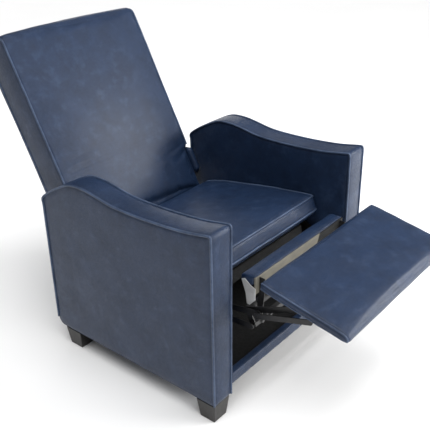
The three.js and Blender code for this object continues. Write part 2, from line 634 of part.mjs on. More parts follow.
function flap() {
  const half = FLAP_WIDTH / 2;
  const rear = FLAP_FRONT + FLAP_DEPTH;
  const boardTop = FLAP_TOP - 4;
  const inside = FLAP_FRONT + FLAP_BOARD + TOUCH;
  const boardRear = FLAP_FRONT + FLAP_BOARD;
  add('flap_board', box(-half + 2, half - 2, FLAP_FRONT, boardRear, FLAP_BOARD_BOTTOM, boardTop), backing);
  add('flap_pad', slab([
    v2(FLAP_FRONT - 1, boardTop + TOUCH), v2(inside, boardTop + TOUCH), v2(inside, FLAP_PAD_BOTTOM),
    v2(rear, FLAP_PAD_BOTTOM), v2(rear, FLAP_TOP - 10), v2(rear - 8, FLAP_TOP - 2),
    v2(FLAP_FRONT + 8, FLAP_TOP + 3), v2(FLAP_FRONT - 1, FLAP_TOP + 2),
  ], -half, half), leather);
  for (const [side, word] of sides) {
    const bar = pivot.driveUpper;
    const clear = bar.y + CROSS_BAR / 2 + TOUCH;
    const face = FLAP_FRONT - TOUCH;
    const plate = [
      v2(bar.x - 9, clear), v2(bar.x + 9, clear), v2(-20, 300), v2(-20, 335), v2(face, 364),
      v2(face, 414), v2(face - 18, 414), v2(face - 18, 372),
    ];
    const bracket = half - FLAP_BRACKET_INSET;
    add(`flap_bracket_${word}`, sideSlab(side, plate, bracket - LINK_THICKNESS, bracket), blackSteel);
    const hook = [
      v2(FLAP_FRONT - 1, 386), v2(FLAP_FRONT - 1, 350), v2(-9, 330), v2(1, 330), v2(5, 362), v2(19, 402),
      v2(8, 407), v2(-12, 392),
    ];
    const end = half + TOUCH;
    add(`flap_end_plate_${word}`, sideSlab(side, hook, end, end + FLAP_PLATE), platedSteel);
  }
}

// ---- footrest ----
function footrest() {
  const padHalf = SEAT_HALF;
  const nose = 12;
  const shape = new THREE.Shape();
  const a = panel(PANEL_LENGTH - nose, 0);
  const b = panel(PANEL_LENGTH, 0);
  const c = panel(PANEL_LENGTH, -nose);
  const rearTop = panel(0, 0);
  const rearBottom = panel(0, -PANEL_PAD);
  const frontBottom = panel(PANEL_LENGTH - 2, -PANEL_PAD);
  shape.moveTo(rearBottom.x, rearBottom.y);
  shape.lineTo(rearTop.x, rearTop.y);
  shape.lineTo(a.x, a.y);
  shape.quadraticCurveTo(b.x, b.y, c.x, c.y);
  shape.lineTo(frontBottom.x, frontBottom.y);
  add('footrest_pad', slab(shape, -padHalf, padHalf, 4), leather);
  const top = -PANEL_PAD - TOUCH;
  const boardFront = PANEL_LENGTH - BOARD_INSET;
  const boardHalf = padHalf - BOARD_INSET;
  add('footrest_board', slab([
    panel(12, top), panel(boardFront, top),
    panel(boardFront, top - PANEL_BOARD), panel(12, top - PANEL_BOARD),
  ], -boardHalf, boardHalf), backing);
  for (const [side, word] of sides) footrestBracket(side, word, top - PANEL_BOARD - TOUCH);
}

const BRACKET_REAR = 60; // footrest bracket, along the footrest
const BRACKET_FRONT = 200;
const BRACKET_FLANGE = 22;

function footrestBracket(side, word, under) {
  const drop = -FOOTREST_PIN_DROP;
  const plate = new THREE.Shape([
    panel(BRACKET_REAR, under), panel(BRACKET_FRONT, under), panel(BRACKET_FRONT, under - 8),
    panel(168, drop - 10), panel(86, drop - 12), panel(BRACKET_REAR, under - 8),
  ]);
  const hole = new THREE.Path();
  const p = pivot.upperFootrest;
  hole.absarc(p.x, p.y, PIN_RADIUS + PIN_CLEARANCE, 0, 2 * Math.PI, true);
  plate.holes.push(hole);
  const flange = [
    panel(BRACKET_REAR, under), panel(BRACKET_FRONT, under),
    panel(BRACKET_FRONT, under - LINK_THICKNESS), panel(BRACKET_REAR, under - LINK_THICKNESS),
  ];
  const root = outward(side, BRACKET_X + 1);
  add(`footrest_bracket_${word}`, join(
    sideSlab(side, plate, BRACKET_X, BRACKET_X + LINK_THICKNESS),
    sideSlab(side, flange, BRACKET_X - BRACKET_FLANGE, BRACKET_X + 1),
    rod(pivot.controlFootrest, root, outward(side, CONTROL_X - OPEN_PIVOT_GAP), PIN_RADIUS),
  ), blackSteel);
}

// ---- assembly ----
const FRONT_FOOT_Y = FOOT_INSET + FOOT_TOP / 2;
const REAR_FOOT_Y = ARM_DEPTH - REAR_FOOT_INSET - FOOT_TOP / 2;
for (const [side, word] of sides) {
  arm(side, word);
  foot(side, `front_${word}`, FRONT_FOOT_Y);
  foot(side, `rear_${word}`, REAR_FOOT_Y);
  basePlate(side, word);
  seatHingePlate(side, word);
  backEar(side, word);
  backHingePlate(side, word);
  rearLink(side, word);
  driveLink(side, word);
  controlLink(side, word);
}
frontRail();
rearPanel();
dustCover();
seatCushion();
seatFrame();
const SPRING_COUNT = 4;
const SPRING_MARGIN = 7.4;
const SPRING_ROOM = 2 * (SEAT_FRAME_HALF - 2 * SEAT_RAIL_WIDTH) - SPRING_MARGIN;
const SPRING_PITCH = SPRING_ROOM / SPRING_COUNT;
for (let i = 0; i < SPRING_COUNT; i += 1) seatSpring(i + 1, (i - (SPRING_COUNT - 1) / 2) * SPRING_PITCH);
backCushion();
backFrame();
backPanel();
lowerLinks();
upperLinks();
flap();
footrest();

// The origin is on the floor, under the middle of the chair as it stands here.
const bounds = new THREE.Box3().setFromObject(chair, true);
chair.position.y = -(bounds.min.y + bounds.max.y) / 2;

export default chair;
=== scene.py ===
"""Upholstery, stitching, fittings and finishes of a push-back recliner armchair, around its frame."""

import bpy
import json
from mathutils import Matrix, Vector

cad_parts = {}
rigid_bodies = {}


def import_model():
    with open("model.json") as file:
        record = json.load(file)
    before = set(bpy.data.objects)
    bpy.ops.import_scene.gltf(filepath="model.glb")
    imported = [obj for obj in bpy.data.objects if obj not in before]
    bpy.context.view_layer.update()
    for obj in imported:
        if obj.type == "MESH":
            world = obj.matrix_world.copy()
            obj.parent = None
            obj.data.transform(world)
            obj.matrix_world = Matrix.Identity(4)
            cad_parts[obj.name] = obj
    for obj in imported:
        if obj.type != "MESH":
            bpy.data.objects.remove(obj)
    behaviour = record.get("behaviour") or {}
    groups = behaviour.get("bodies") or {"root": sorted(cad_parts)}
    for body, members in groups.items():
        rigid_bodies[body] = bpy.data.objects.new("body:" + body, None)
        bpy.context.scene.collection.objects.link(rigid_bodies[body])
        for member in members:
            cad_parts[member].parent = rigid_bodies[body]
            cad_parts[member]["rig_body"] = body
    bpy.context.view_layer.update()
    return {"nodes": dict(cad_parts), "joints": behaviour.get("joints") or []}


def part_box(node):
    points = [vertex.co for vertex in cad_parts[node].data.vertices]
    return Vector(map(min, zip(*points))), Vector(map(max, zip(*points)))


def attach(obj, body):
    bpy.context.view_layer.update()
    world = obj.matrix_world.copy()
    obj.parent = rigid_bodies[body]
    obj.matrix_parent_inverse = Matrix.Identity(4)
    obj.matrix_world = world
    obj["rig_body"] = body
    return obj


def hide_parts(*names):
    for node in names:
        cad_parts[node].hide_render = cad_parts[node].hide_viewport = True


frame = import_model()

import json
import math

import bmesh
import bpy
import numpy as np
from bpy.props import FloatProperty, FloatVectorProperty, IntProperty, PointerProperty
from mathutils import Matrix, Vector
from mathutils.bvhtree import BVHTree
from mathutils.kdtree import KDTree

bl_info = {
    "name": "Recliner Armchair",
    "version": (1, 0, 0),
    "blender": (4, 5, 0),
    "location": "3D View > Sidebar > Recliner",
    "description": "Makes the leather, padding, seams, fittings and stage of a recliner armchair",
    "category": "Object",
}

MM = 0.001
SIDES = ((-1, "left"), (1, "right"))

# ---- places taken from the frame ----
ARM_LOW, ARM_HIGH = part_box("arm_cover_right")
FRONT_Y = ARM_LOW.y
ARM_DEPTH = ARM_HIGH.y - ARM_LOW.y
ARM_TOP = ARM_HIGH.z
ARM_FOOT = ARM_LOW.z
ARM_OUTER = ARM_HIGH.x
ARM_INNER = ARM_LOW.x
SEAT_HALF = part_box("seat_cushion")[1].x
BACK_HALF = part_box("back_cushion")[1].x
PAD_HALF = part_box("footrest_pad")[1].x


class SideFrame:
    """A sloping side view: u runs along a piece and w across it, at a distance x from the chair's middle."""

    def __init__(self, y, z, along, across):
        self.origin = np.array([y, z])
        self.along = np.array(along)
        self.across = np.array(across)

    def place(self, x, u, w):
        y, z = self.origin + u * self.along + w * self.across
        return Vector((x, y, z))

    def read(self, points):
        flat = points[:, 1:] - self.origin
        return flat @ self.along, flat @ self.across


SEAT_SLOPE = math.radians(9.5)
SEAT_LENGTH = 474 * MM
SEAT_THICKNESS = 92 * MM
SEAT = SideFrame(
    FRONT_Y + 114 * MM, 434 * MM,
    (math.cos(SEAT_SLOPE), -math.sin(SEAT_SLOPE)), (math.sin(SEAT_SLOPE), math.cos(SEAT_SLOPE)),
)
BACK_LEAN = math.radians(27.5)
BACK_FOOT = SEAT.place(0, SEAT_LENGTH + 8 * MM, 21.5 * MM)
BACK = SideFrame(
    BACK_FOOT.y, BACK_FOOT.z,
    (math.sin(BACK_LEAN), math.cos(BACK_LEAN)), (math.cos(BACK_LEAN), -math.sin(BACK_LEAN)),
)
BACK_LOW = -45 * MM
BACK_TOP = 633 * MM
BACK_DEPTH = 113.7 * MM
BACK_ROLL = 26 * MM
BACK_CORNER = 20 * MM
BACK_CROWN = 9 * MM
SEAT_CORNER = 18 * MM
NOTCH_TOP = 111 * MM
# Slant and start of the painted shadow over the right part of the flap board.
SHADOW_SLANT = -0.45
CLOTH_SHADOW_EDGE = 88 * MM + SHADOW_SLANT * 410 * MM
NOTCH_WIDTH = 15 * MM
PANEL_SLOPE = math.radians(11)
PANEL = SideFrame(
    FRONT_Y - 84 * MM, 461 * MM,
    (-math.cos(PANEL_SLOPE), -math.sin(PANEL_SLOPE)), (-math.sin(PANEL_SLOPE), math.cos(PANEL_SLOPE)),
)
PANEL_LENGTH = 270 * MM
PANEL_PAD = 26 * MM


# ---- settings ----
class UpholsterySizes(bpy.types.PropertyGroup):
    """Sizes of the padding, seams and cords"""

    welt_radius: FloatProperty(
        name="Welt radius", description="Radius of the leather cord sewn into a seam",
        default=3.4 * MM, min=1 * MM, unit="LENGTH",
    )
    arm_swell: FloatProperty(
        name="Arm swell", description="How far the padding of an arm stands proud of its frame",
        default=2.5 * MM, unit="LENGTH",
    )
    arm_corner: FloatProperty(
        name="Arm corner", description="Radius of the arm's long edges under the welt",
        default=5 * MM, unit="LENGTH",
    )
    seam_depth: FloatProperty(
        name="Seam depth", description="Depth of the channel beside a seam",
        default=2.2 * MM, unit="LENGTH",
    )
    pucker: FloatProperty(
        name="Pucker", description="Height of the gathers that a seam leaves in the leather",
        default=0.55 * MM, unit="LENGTH",
    )
    voxel: FloatProperty(
        name="Padding mesh", description="Mesh size that the padding is simulated at",
        default=6 * MM, min=4 * MM, unit="LENGTH",
    )
    pressure: FloatProperty(
        name="Padding pressure", description="Pressure that fills the cushions", default=4.0, min=0.0,
    )
    stitch_pitch: FloatProperty(
        name="Stitch pitch", description="Distance from one stitch to the next",
        default=5.5 * MM, min=2 * MM, unit="LENGTH",
    )
    stitch_width: FloatProperty(
        name="Stitch width", description="Thickness of the sewing thread",
        default=0.9 * MM, unit="LENGTH",
    )
    spring_wire: FloatProperty(
        name="Spring wire", description="Radius of the seat springs' wire", default=1.9 * MM, unit="LENGTH",
    )
    seed: IntProperty(name="Seed", description="Seed of the gathers and creases", default=7)


class ReclinerFinish(bpy.types.PropertyGroup):
    """Colours of the chair's materials"""

    leather: FloatVectorProperty(
        name="Leather", description="Main colour of the leather", subtype="COLOR", size=3,
        default=(0.017, 0.036, 0.086),
    )
    leather_dark: FloatVectorProperty(
        name="Leather shade", description="Darker clouds and grain valleys of the leather", subtype="COLOR",
        size=3, default=(0.008, 0.017, 0.041),
    )
    # The pale colour is worn leather on creases, and also the painted highlight of the welts.
    leather_worn_and_highlight: FloatVectorProperty(
        name="Worn leather and welt highlight", description="Pale worn leather on creases, and the painted highlight of the welts", subtype="COLOR",
        size=3, default=(0.085, 0.125, 0.215),
    )
    thread: FloatVectorProperty(
        name="Thread", description="Colour of the sewing thread", subtype="COLOR", size=3,
        default=(0.050, 0.068, 0.110),
    )
    timber: FloatVectorProperty(
        name="Frame timber", description="Colour of the hidden softwood frame", subtype="COLOR", size=3,
        default=(0.46, 0.30, 0.15),
    )
    foot_wood: FloatVectorProperty(
        name="Foot wood", description="Stain of the feet", subtype="COLOR", size=3,
        default=(0.013, 0.0105, 0.010),
    )
    backing: FloatVectorProperty(
        name="Backing cloth", description="Woven cloth on the undersides", subtype="COLOR", size=3,
        default=(0.23, 0.215, 0.175),
    )
    # The mechanism's near-black is black paint, darkened further as painted shade inside the chair.
    steel: FloatVectorProperty(
        name="Painted steel", description="Black paint of the mechanism, darkened as painted shade", subtype="COLOR", size=3,
        default=(0.004, 0.004, 0.0045),
    )
    floor: FloatVectorProperty(
        name="Floor", description="Colour of the studio floor", subtype="COLOR", size=3,
        default=(0.93, 0.93, 0.93),
    )


# ---- mesh helpers ----
def new_object(name, mesh):
    made = bpy.data.objects.new(name, mesh)
    bpy.context.scene.collection.objects.link(made)
    return made


def mesh_from(name, points, faces=(), edges=()):
    mesh = bpy.data.meshes.new(name)
    mesh.from_pydata([tuple(p) for p in points], list(edges), list(faces))
    mesh.update()
    return new_object(name, mesh)


def coordinates(mesh):
    co = np.zeros(len(mesh.vertices) * 3)
    mesh.vertices.foreach_get("co", co)
    return co.reshape(-1, 3)


def normals(mesh):
    flat = np.zeros(len(mesh.vertices) * 3)
    mesh.vertices.foreach_get("normal", flat)
    return flat.reshape(-1, 3)


def set_coordinates(mesh, co):
    mesh.vertices.foreach_set("co", co.astype(np.float32).ravel())
    mesh.update()


def smooth_shade(made):
    made.data.polygons.foreach_set("use_smooth", [True] * len(made.data.polygons))
    made.data.update()


def apply_modifiers(made):
    """Turns the evaluated object into its own plain mesh and clears its modifiers."""
    depsgraph = bpy.context.evaluated_depsgraph_get()
    mesh = bpy.data.meshes.new_from_object(made.evaluated_get(depsgraph), depsgraph=depsgraph)
    made.modifiers.clear()
    made.data = mesh
    return made


def with_modifier(made, kind, **values):
    modifier = made.modifiers.new(kind.title(), kind)
    for key, value in values.items():
        setattr(modifier, key, value)
    return apply_modifiers(made)


def node_copy(node, name):
    """A merged copy of a CAD node's mesh."""
    work = bmesh.new()
    work.from_mesh(frame["nodes"][node].data)
    bmesh.ops.remove_doubles(work, verts=work.verts, dist=1e-5)
    mesh = bpy.data.meshes.new(name)
    work.to_mesh(mesh)
    work.free()
    return new_object(name, mesh)


def loft(name, rings):
    """A closed skin through closed rings of equal length, with a pole at each end."""
    count = len(rings[0])
    points = [rings[0].mean(0)]
    for ring in rings:
        points.extend(ring)
    points.append(rings[-1].mean(0))
    last = len(points) - 1
    faces = []
    for i in range(count):
        j = (i + 1) % count
        faces.append((0, 1 + j, 1 + i))
        faces.append((last, last - count + i, last - count + j))
        for k in range(len(rings) - 1):
            a = 1 + k * count
            faces.append((a + i, a + j, a + count + j, a + count + i))
    made = mesh_from(name, points, faces)
    outward_faces(made)
    smooth_shade(made)
    return made


def outward_faces(made):
    work = bmesh.new()
    work.from_mesh(made.data)
    bmesh.ops.recalc_face_normals(work, faces=work.faces)
    work.to_mesh(made.data)
    work.free()


def ripple(points, period, seed):
    """Smooth waves between -1 and 1, the same on every run."""
    chance = np.random.default_rng(seed)
    total = np.zeros(len(points))
    waves = 7
    for k in range(waves):
        direction = chance.normal(size=3)
        direction /= np.linalg.norm(direction)
        turn = 2 * math.pi / (period * (0.7 + 0.2 * k))
        total += np.sin(points @ direction * turn + chance.uniform(0, 2 * math.pi))
    return total / math.sqrt(waves * 2)


def catmull(points, steps):
    """A smooth curve through points of two or three coordinates."""
    known = np.array(points, float)
    padded = np.vstack([known[0], known, known[-1]])
    share = np.linspace(0, 1, steps, endpoint=False)[:, None]
    parts = []
    for p0, p1, p2, p3 in zip(padded, padded[1:], padded[2:], padded[3:]):
        a = 2 * p1 + (p2 - p0) * share
        b = (2 * p0 - 5 * p1 + 4 * p2 - p3) * share**2
        c = (-p0 + 3 * p1 - 3 * p2 + p3) * share**3
        parts.append(0.5 * (a + b + c))
    return np.vstack([*parts, known[-1:]])


def resample(points, step, closed=False):
    """Evenly spaced points along a polyline."""
    line = np.array(points, float)
    if closed:
        line = np.vstack([line, line[:1]])
    reach = np.concatenate([[0], np.cumsum(np.linalg.norm(np.diff(line, axis=0), axis=1))])
    count = max(2, int(round(reach[-1] / step)) + 1)
    places = np.linspace(0, reach[-1], count)
    if closed:
        places = places[:-1]
    return np.stack([np.interp(places, reach, line[:, k]) for k in range(line.shape[1])], axis=1)


def finish_piece(made, body, material, replaces=()):
    """Gives a piece its material and body, and hides the CAD nodes that it stands for."""
    made.data.materials.clear()
    made.data.materials.append(material)
    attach(made, body)
    if replaces:
        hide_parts(*replaces)
    return made


# ---- geometry node trees ----
def geometry_tree(name, sockets):
    tree = bpy.data.node_groups.new(name, "GeometryNodeTree")
    tree.interface.new_socket("Path", in_out="INPUT", socket_type="NodeSocketGeometry")
    for label, kind, default in sockets:
        socket = tree.interface.new_socket(label, in_out="INPUT", socket_type="NodeSocket" + kind)
        if default is not None:
            socket.default_value = default
    tree.interface.new_socket("Mesh", in_out="OUTPUT", socket_type="NodeSocketGeometry")
    return tree, tree.nodes.new("NodeGroupInput"), tree.nodes.new("NodeGroupOutput")


def cord_tree():
    """A round cord along a path of edges."""
    if "Cord along a path" in bpy.data.node_groups:
        return bpy.data.node_groups["Cord along a path"]
    tree, given, result = geometry_tree("Cord along a path", [
        ("Radius", "Float", 3 * MM), ("Sides", "Int", 10), ("Step", "Float", 4 * MM),
        ("Material", "Material", None),
    ])
    link = tree.links.new
    curve = tree.nodes.new("GeometryNodeMeshToCurve")
    even = tree.nodes.new("GeometryNodeResampleCurve")
    even.mode = "LENGTH"
    section = tree.nodes.new("GeometryNodeCurvePrimitiveCircle")
    skin = tree.nodes.new("GeometryNodeCurveToMesh")
    skin.inputs["Fill Caps"].default_value = True
    smooth = tree.nodes.new("GeometryNodeSetShadeSmooth")
    whole = tree.nodes.new("GeometryNodeRealizeInstances")
    paint = tree.nodes.new("GeometryNodeSetMaterial")
    link(given.outputs["Path"], curve.inputs["Mesh"])
    link(curve.outputs["Curve"], even.inputs["Curve"])
    link(given.outputs["Step"], even.inputs["Length"])
    link(given.outputs["Sides"], section.inputs["Resolution"])
    link(given.outputs["Radius"], section.inputs["Radius"])
    link(even.outputs["Curve"], skin.inputs["Curve"])
    link(section.outputs["Curve"], skin.inputs["Profile Curve"])
    link(skin.outputs["Mesh"], smooth.inputs["Geometry"])
    link(smooth.outputs["Geometry"], whole.inputs["Geometry"])
    link(whole.outputs["Geometry"], paint.inputs["Geometry"])
    link(given.outputs["Material"], paint.inputs["Material"])
    link(paint.outputs["Geometry"], result.inputs["Mesh"])
    return tree


def stitch_tree():
    """Short thread stitches laid end to end along a path of edges."""
    if "Stitches along a path" in bpy.data.node_groups:
        return bpy.data.node_groups["Stitches along a path"]
    tree, given, result = geometry_tree("Stitches along a path", [
        ("Pitch", "Float", 5 * MM), ("Width", "Float", 1 * MM), ("Share", "Float", 0.36),
        ("Material", "Material", None),
    ])
    link = tree.links.new
    curve = tree.nodes.new("GeometryNodeMeshToCurve")
    even = tree.nodes.new("GeometryNodeResampleCurve")
    even.mode = "LENGTH"
    stitch = tree.nodes.new("GeometryNodeMeshUVSphere")
    stitch.inputs["Segments"].default_value = 6
    stitch.inputs["Rings"].default_value = 4
    stitch.inputs["Radius"].default_value = 1
    reach = tree.nodes.new("ShaderNodeMath")
    reach.operation = "MULTIPLY"
    half = tree.nodes.new("ShaderNodeMath")
    half.operation = "MULTIPLY"
    half.inputs[1].default_value = 0.5
    size = tree.nodes.new("ShaderNodeCombineXYZ")
    shape = tree.nodes.new("GeometryNodeTransform")
    tangent = tree.nodes.new("GeometryNodeInputTangent")
    turn = tree.nodes.new("FunctionNodeAlignRotationToVector")
    turn.axis = "Z"
    copies = tree.nodes.new("GeometryNodeInstanceOnPoints")
    whole = tree.nodes.new("GeometryNodeRealizeInstances")
    smooth = tree.nodes.new("GeometryNodeSetShadeSmooth")
    paint = tree.nodes.new("GeometryNodeSetMaterial")
    link(given.outputs["Path"], curve.inputs["Mesh"])
    link(curve.outputs["Curve"], even.inputs["Curve"])
    link(given.outputs["Pitch"], even.inputs["Length"])
    link(given.outputs["Pitch"], reach.inputs[0])
    link(given.outputs["Share"], reach.inputs[1])
    link(given.outputs["Width"], half.inputs[0])
    link(half.outputs[0], size.inputs["X"])
    link(half.outputs[0], size.inputs["Y"])
    link(reach.outputs[0], size.inputs["Z"])
    link(stitch.outputs["Mesh"], shape.inputs["Geometry"])
    link(size.outputs["Vector"], shape.inputs["Scale"])
    link(tangent.outputs["Tangent"], turn.inputs["Vector"])
    link(even.outputs["Curve"], copies.inputs["Points"])
    link(shape.outputs["Geometry"], copies.inputs["Instance"])
    link(turn.outputs["Rotation"], copies.inputs["Rotation"])
    link(copies.outputs["Instances"], whole.inputs["Geometry"])
    link(whole.outputs["Geometry"], smooth.inputs["Geometry"])
    link(smooth.outputs["Geometry"], paint.inputs["Geometry"])
    link(given.outputs["Material"], paint.inputs["Material"])
    link(paint.outputs["Geometry"], result.inputs["Mesh"])
    return tree


def head_tree():
    """A fastener head on every point of a mesh, each standing along the axis given."""
    if "Fastener heads" in bpy.data.node_groups:
        return bpy.data.node_groups["Fastener heads"]
    tree, given, result = geometry_tree("Fastener heads", [
        ("Radius", "Float", 7 * MM), ("Crown radius", "Float", 4 * MM), ("Height", "Float", 2 * MM),
        ("Facets", "Int", 16), ("Axis", "Vector", (1, 0, 0)), ("Material", "Material", None),
    ])
    link = tree.links.new
    head = tree.nodes.new("GeometryNodeMeshCone")
    turn = tree.nodes.new("FunctionNodeAlignRotationToVector")
    turn.axis = "Z"
    copies = tree.nodes.new("GeometryNodeInstanceOnPoints")
    whole = tree.nodes.new("GeometryNodeRealizeInstances")
    paint = tree.nodes.new("GeometryNodeSetMaterial")
    link(given.outputs["Facets"], head.inputs["Vertices"])
    link(given.outputs["Crown radius"], head.inputs["Radius Top"])
    link(given.outputs["Radius"], head.inputs["Radius Bottom"])
    link(given.outputs["Height"], head.inputs["Depth"])
    link(given.outputs["Axis"], turn.inputs["Vector"])
    link(given.outputs["Path"], copies.inputs["Points"])
    link(head.outputs["Mesh"], copies.inputs["Instance"])
    link(turn.outputs["Rotation"], copies.inputs["Rotation"])
    link(copies.outputs["Instances"], whole.inputs["Geometry"])
    link(whole.outputs["Geometry"], paint.inputs["Geometry"])
    link(given.outputs["Material"], paint.inputs["Material"])
    link(paint.outputs["Geometry"], result.inputs["Mesh"])
    return tree


def grow(name, paths, tree, **values):
    """Runs a tree on paths of points and returns the result as one plain mesh."""
    points = []
    edges = []
    for path in paths:
        start = len(points)
        points.extend(path)
        edges.extend((start + i, start + i + 1) for i in range(len(path) - 1))
    holder = mesh_from(name, points, edges=edges)
    modifier = holder.modifiers.new(tree.name, "NODES")
    modifier.node_group = tree
    for label, value in values.items():
        socket = tree.interface.items_tree[label.replace("_", " ").capitalize()]
        modifier[socket.identifier] = value
    return apply_modifiers(holder)


# ---- shader helpers ----
def shader_group(name, inputs, outputs):
    tree = bpy.data.node_groups.new(name, "ShaderNodeTree")
    for label, kind, default in inputs:
        socket = tree.interface.new_socket(label, in_out="INPUT", socket_type="NodeSocket" + kind)
        socket.default_value = default
    for label, kind in outputs:
        tree.interface.new_socket(label, in_out="OUTPUT", socket_type="NodeSocket" + kind)
    return tree, tree.nodes.new("NodeGroupInput"), tree.nodes.new("NodeGroupOutput")


def noise(tree, vector, scale, detail=3.0, roughness=0.55):
    node = tree.nodes.new("ShaderNodeTexNoise")
    node.inputs["Detail"].default_value = detail
    node.inputs["Roughness"].default_value = roughness
    tree.links.new(vector, node.inputs["Vector"])
    if isinstance(scale, (int, float)):
        node.inputs["Scale"].default_value = scale
    else:
        tree.links.new(scale, node.inputs["Scale"])
    return node.outputs["Fac"]


def calculate(tree, operation, first, second=None, clamp=False):
    node = tree.nodes.new("ShaderNodeMath")
    node.operation = operation
    node.use_clamp = clamp
    for socket, value in zip(node.inputs, (first, second)):
        if value is None:
            continue
        if isinstance(value, (int, float)):
            socket.default_value = value
        else:
            tree.links.new(value, socket)
    return node.outputs[0]


def remap(tree, value, low, high, to_low=0.0, to_high=1.0):
    node = tree.nodes.new("ShaderNodeMapRange")
    tree.links.new(value, node.inputs["Value"])
    for label, number in (("From Min", low), ("From Max", high), ("To Min", to_low), ("To Max", to_high)):
        node.inputs[label].default_value = number
    return node.outputs["Result"]


def mix_colour(tree, share, first, second):
    node = tree.nodes.new("ShaderNodeMix")
    node.data_type = "RGBA"
    tree.links.new(share, node.inputs["Factor"])
    for socket, value in ((node.inputs[6], first), (node.inputs[7], second)):
        if isinstance(value, bpy.types.NodeSocket):
            tree.links.new(value, socket)
        else:
            socket.default_value = (*value, 1)
    return node.outputs[2]


def leather_grain():
    """Pebbled hide: a height for bump, cloudy tone and a mask of the grain's valleys."""
    if "Leather grain" in bpy.data.node_groups:
        return bpy.data.node_groups["Leather grain"]
    tree, given, result = shader_group("Leather grain", [
        ("Vector", "Vector", (0, 0, 0)), ("Grain scale", "Float", 520.0),
        ("Crease scale", "Float", 34.0), ("Cloud scale", "Float", 13.0),
    ], [("Height", "Float"), ("Cloud", "Float"), ("Valley", "Float"), ("Crease", "Float")])
    vector = given.outputs["Vector"]
    pebble = tree.nodes.new("ShaderNodeTexVoronoi")
    pebble.feature = "DISTANCE_TO_EDGE"
    tree.links.new(vector, pebble.inputs["Vector"])
    tree.links.new(given.outputs["Grain scale"], pebble.inputs["Scale"])
    valley = remap(tree, pebble.outputs["Distance"], 0.0, 0.22)
    fine = noise(tree, vector, calculate(tree, "MULTIPLY", given.outputs["Grain scale"], 2.4), 2.0)
    crease = noise(tree, vector, given.outputs["Crease scale"], 5.0, 0.62)
    cloud = noise(tree, vector, given.outputs["Cloud scale"], 4.0, 0.6)
    spots = noise(tree, vector, calculate(tree, "MULTIPLY", given.outputs["Cloud scale"], 6.5), 3.0, 0.6)
    pebbles = calculate(tree, "MULTIPLY", valley, 0.5)
    height = calculate(tree, "ADD", pebbles, calculate(tree, "MULTIPLY", fine, 0.25))
    height = calculate(tree, "ADD", height, calculate(tree, "MULTIPLY", crease, 1.6))
    broad = calculate(tree, "MULTIPLY", cloud, 0.66)
    tone = calculate(tree, "ADD", broad, calculate(tree, "MULTIPLY", spots, 0.34))
    for label, value in (("Height", height), ("Cloud", tone), ("Valley", valley), ("Crease", crease)):
        tree.links.new(value, result.inputs[label])
    return tree


def brushed_dust():
    """Fine specks and smudges for painted and plated metal, timber and cloth."""
    if "Smudge and specks" in bpy.data.node_groups:
        return bpy.data.node_groups["Smudge and specks"]
    tree, given, result = shader_group("Smudge and specks", [
        ("Vector", "Vector", (0, 0, 0)), ("Smudge scale", "Float", 22.0), ("Speck scale", "Float", 400.0),
    ], [("Smudge", "Float"), ("Specks", "Float")])
    smudge = noise(tree, given.outputs["Vector"], given.outputs["Smudge scale"], 4.0)
    specks = noise(tree, given.outputs["Vector"], given.outputs["Speck scale"], 2.0)
    tree.links.new(remap(tree, smudge, 0.3, 0.7), result.inputs["Smudge"])
    tree.links.new(specks, result.inputs["Specks"])
    return tree


def new_material(name, metallic=0.0, **sockets):
    """A material with a Principled shader, its plain values set on the shader's own sockets."""
    material = bpy.data.materials.new(name)
    material.use_nodes = True
    tree = material.node_tree
    shader = tree.nodes["Principled BSDF"]
    shader.inputs["Metallic"].default_value = metallic
    for label, value in sockets.items():
        shader.inputs[label.replace("_", " ").title().replace("Ior", "IOR")].default_value = value
    place = tree.nodes.new("ShaderNodeTexCoord").outputs["Object"]
    return material, tree, shader, place


def bump(tree, shader, height, strength, distance):
    node = tree.nodes.new("ShaderNodeBump")
    node.inputs["Strength"].default_value = strength
    node.inputs["Distance"].default_value = distance
    tree.links.new(height, node.inputs["Height"])
    tree.links.new(node.outputs["Normal"], shader.inputs["Normal"])


def stretched(tree, vector, scale):
    node = tree.nodes.new("ShaderNodeMapping")
    node.inputs["Scale"].default_value = scale
    tree.links.new(vector, node.inputs["Vector"])
    return node.outputs["Vector"]


def leather_material(name="Leather", highlight_share=0.0):
    """Semi-gloss pigmented hide, cloudy in tone; the second argument is how far its colour is lightened towards
    the pale colour, a painted highlight, as on the welts.
    """
    if name in bpy.data.materials:
        return bpy.data.materials[name]
    finish = bpy.context.scene.recliner_finish
    material, tree, shader, place = new_material(name, coat_weight=0.1, coat_roughness=0.26)
    shader.inputs["Specular IOR Level"].default_value = 0.3
    grain = tree.nodes.new("ShaderNodeGroup")
    grain.node_tree = leather_grain()
    tree.links.new(place, grain.inputs["Vector"])
    for label, value in (("Grain scale", 520.0), ("Crease scale", 30.0), ("Cloud scale", 15.0)):
        grain.inputs[label].default_value = value
    # Lightening the base towards the pale colour is a painted highlight, used in full on the welts.
    main = [a + (b - a) * highlight_share for a, b in zip(finish.leather, finish.leather_worn_and_highlight)]
    cloudy = mix_colour(tree, remap(tree, grain.outputs["Cloud"], 0.22, 0.62), finish.leather_dark, main)
    rub = remap(tree, grain.outputs["Crease"], 0.55, 0.78, 0.0, 0.25)
    lit = mix_colour(tree, rub, cloudy, finish.leather_worn_and_highlight)
    depth = remap(tree, grain.outputs["Valley"], 0.0, 1.0, 0.35, 0.0)
    tree.links.new(mix_colour(tree, depth, lit, finish.leather_dark), shader.inputs["Base Color"])
    tree.links.new(remap(tree, grain.outputs["Cloud"], 0.3, 0.7, 0.42, 0.29), shader.inputs["Roughness"])
    bump(tree, shader, grain.outputs["Height"], 0.55, 0.9 * MM)
    return material


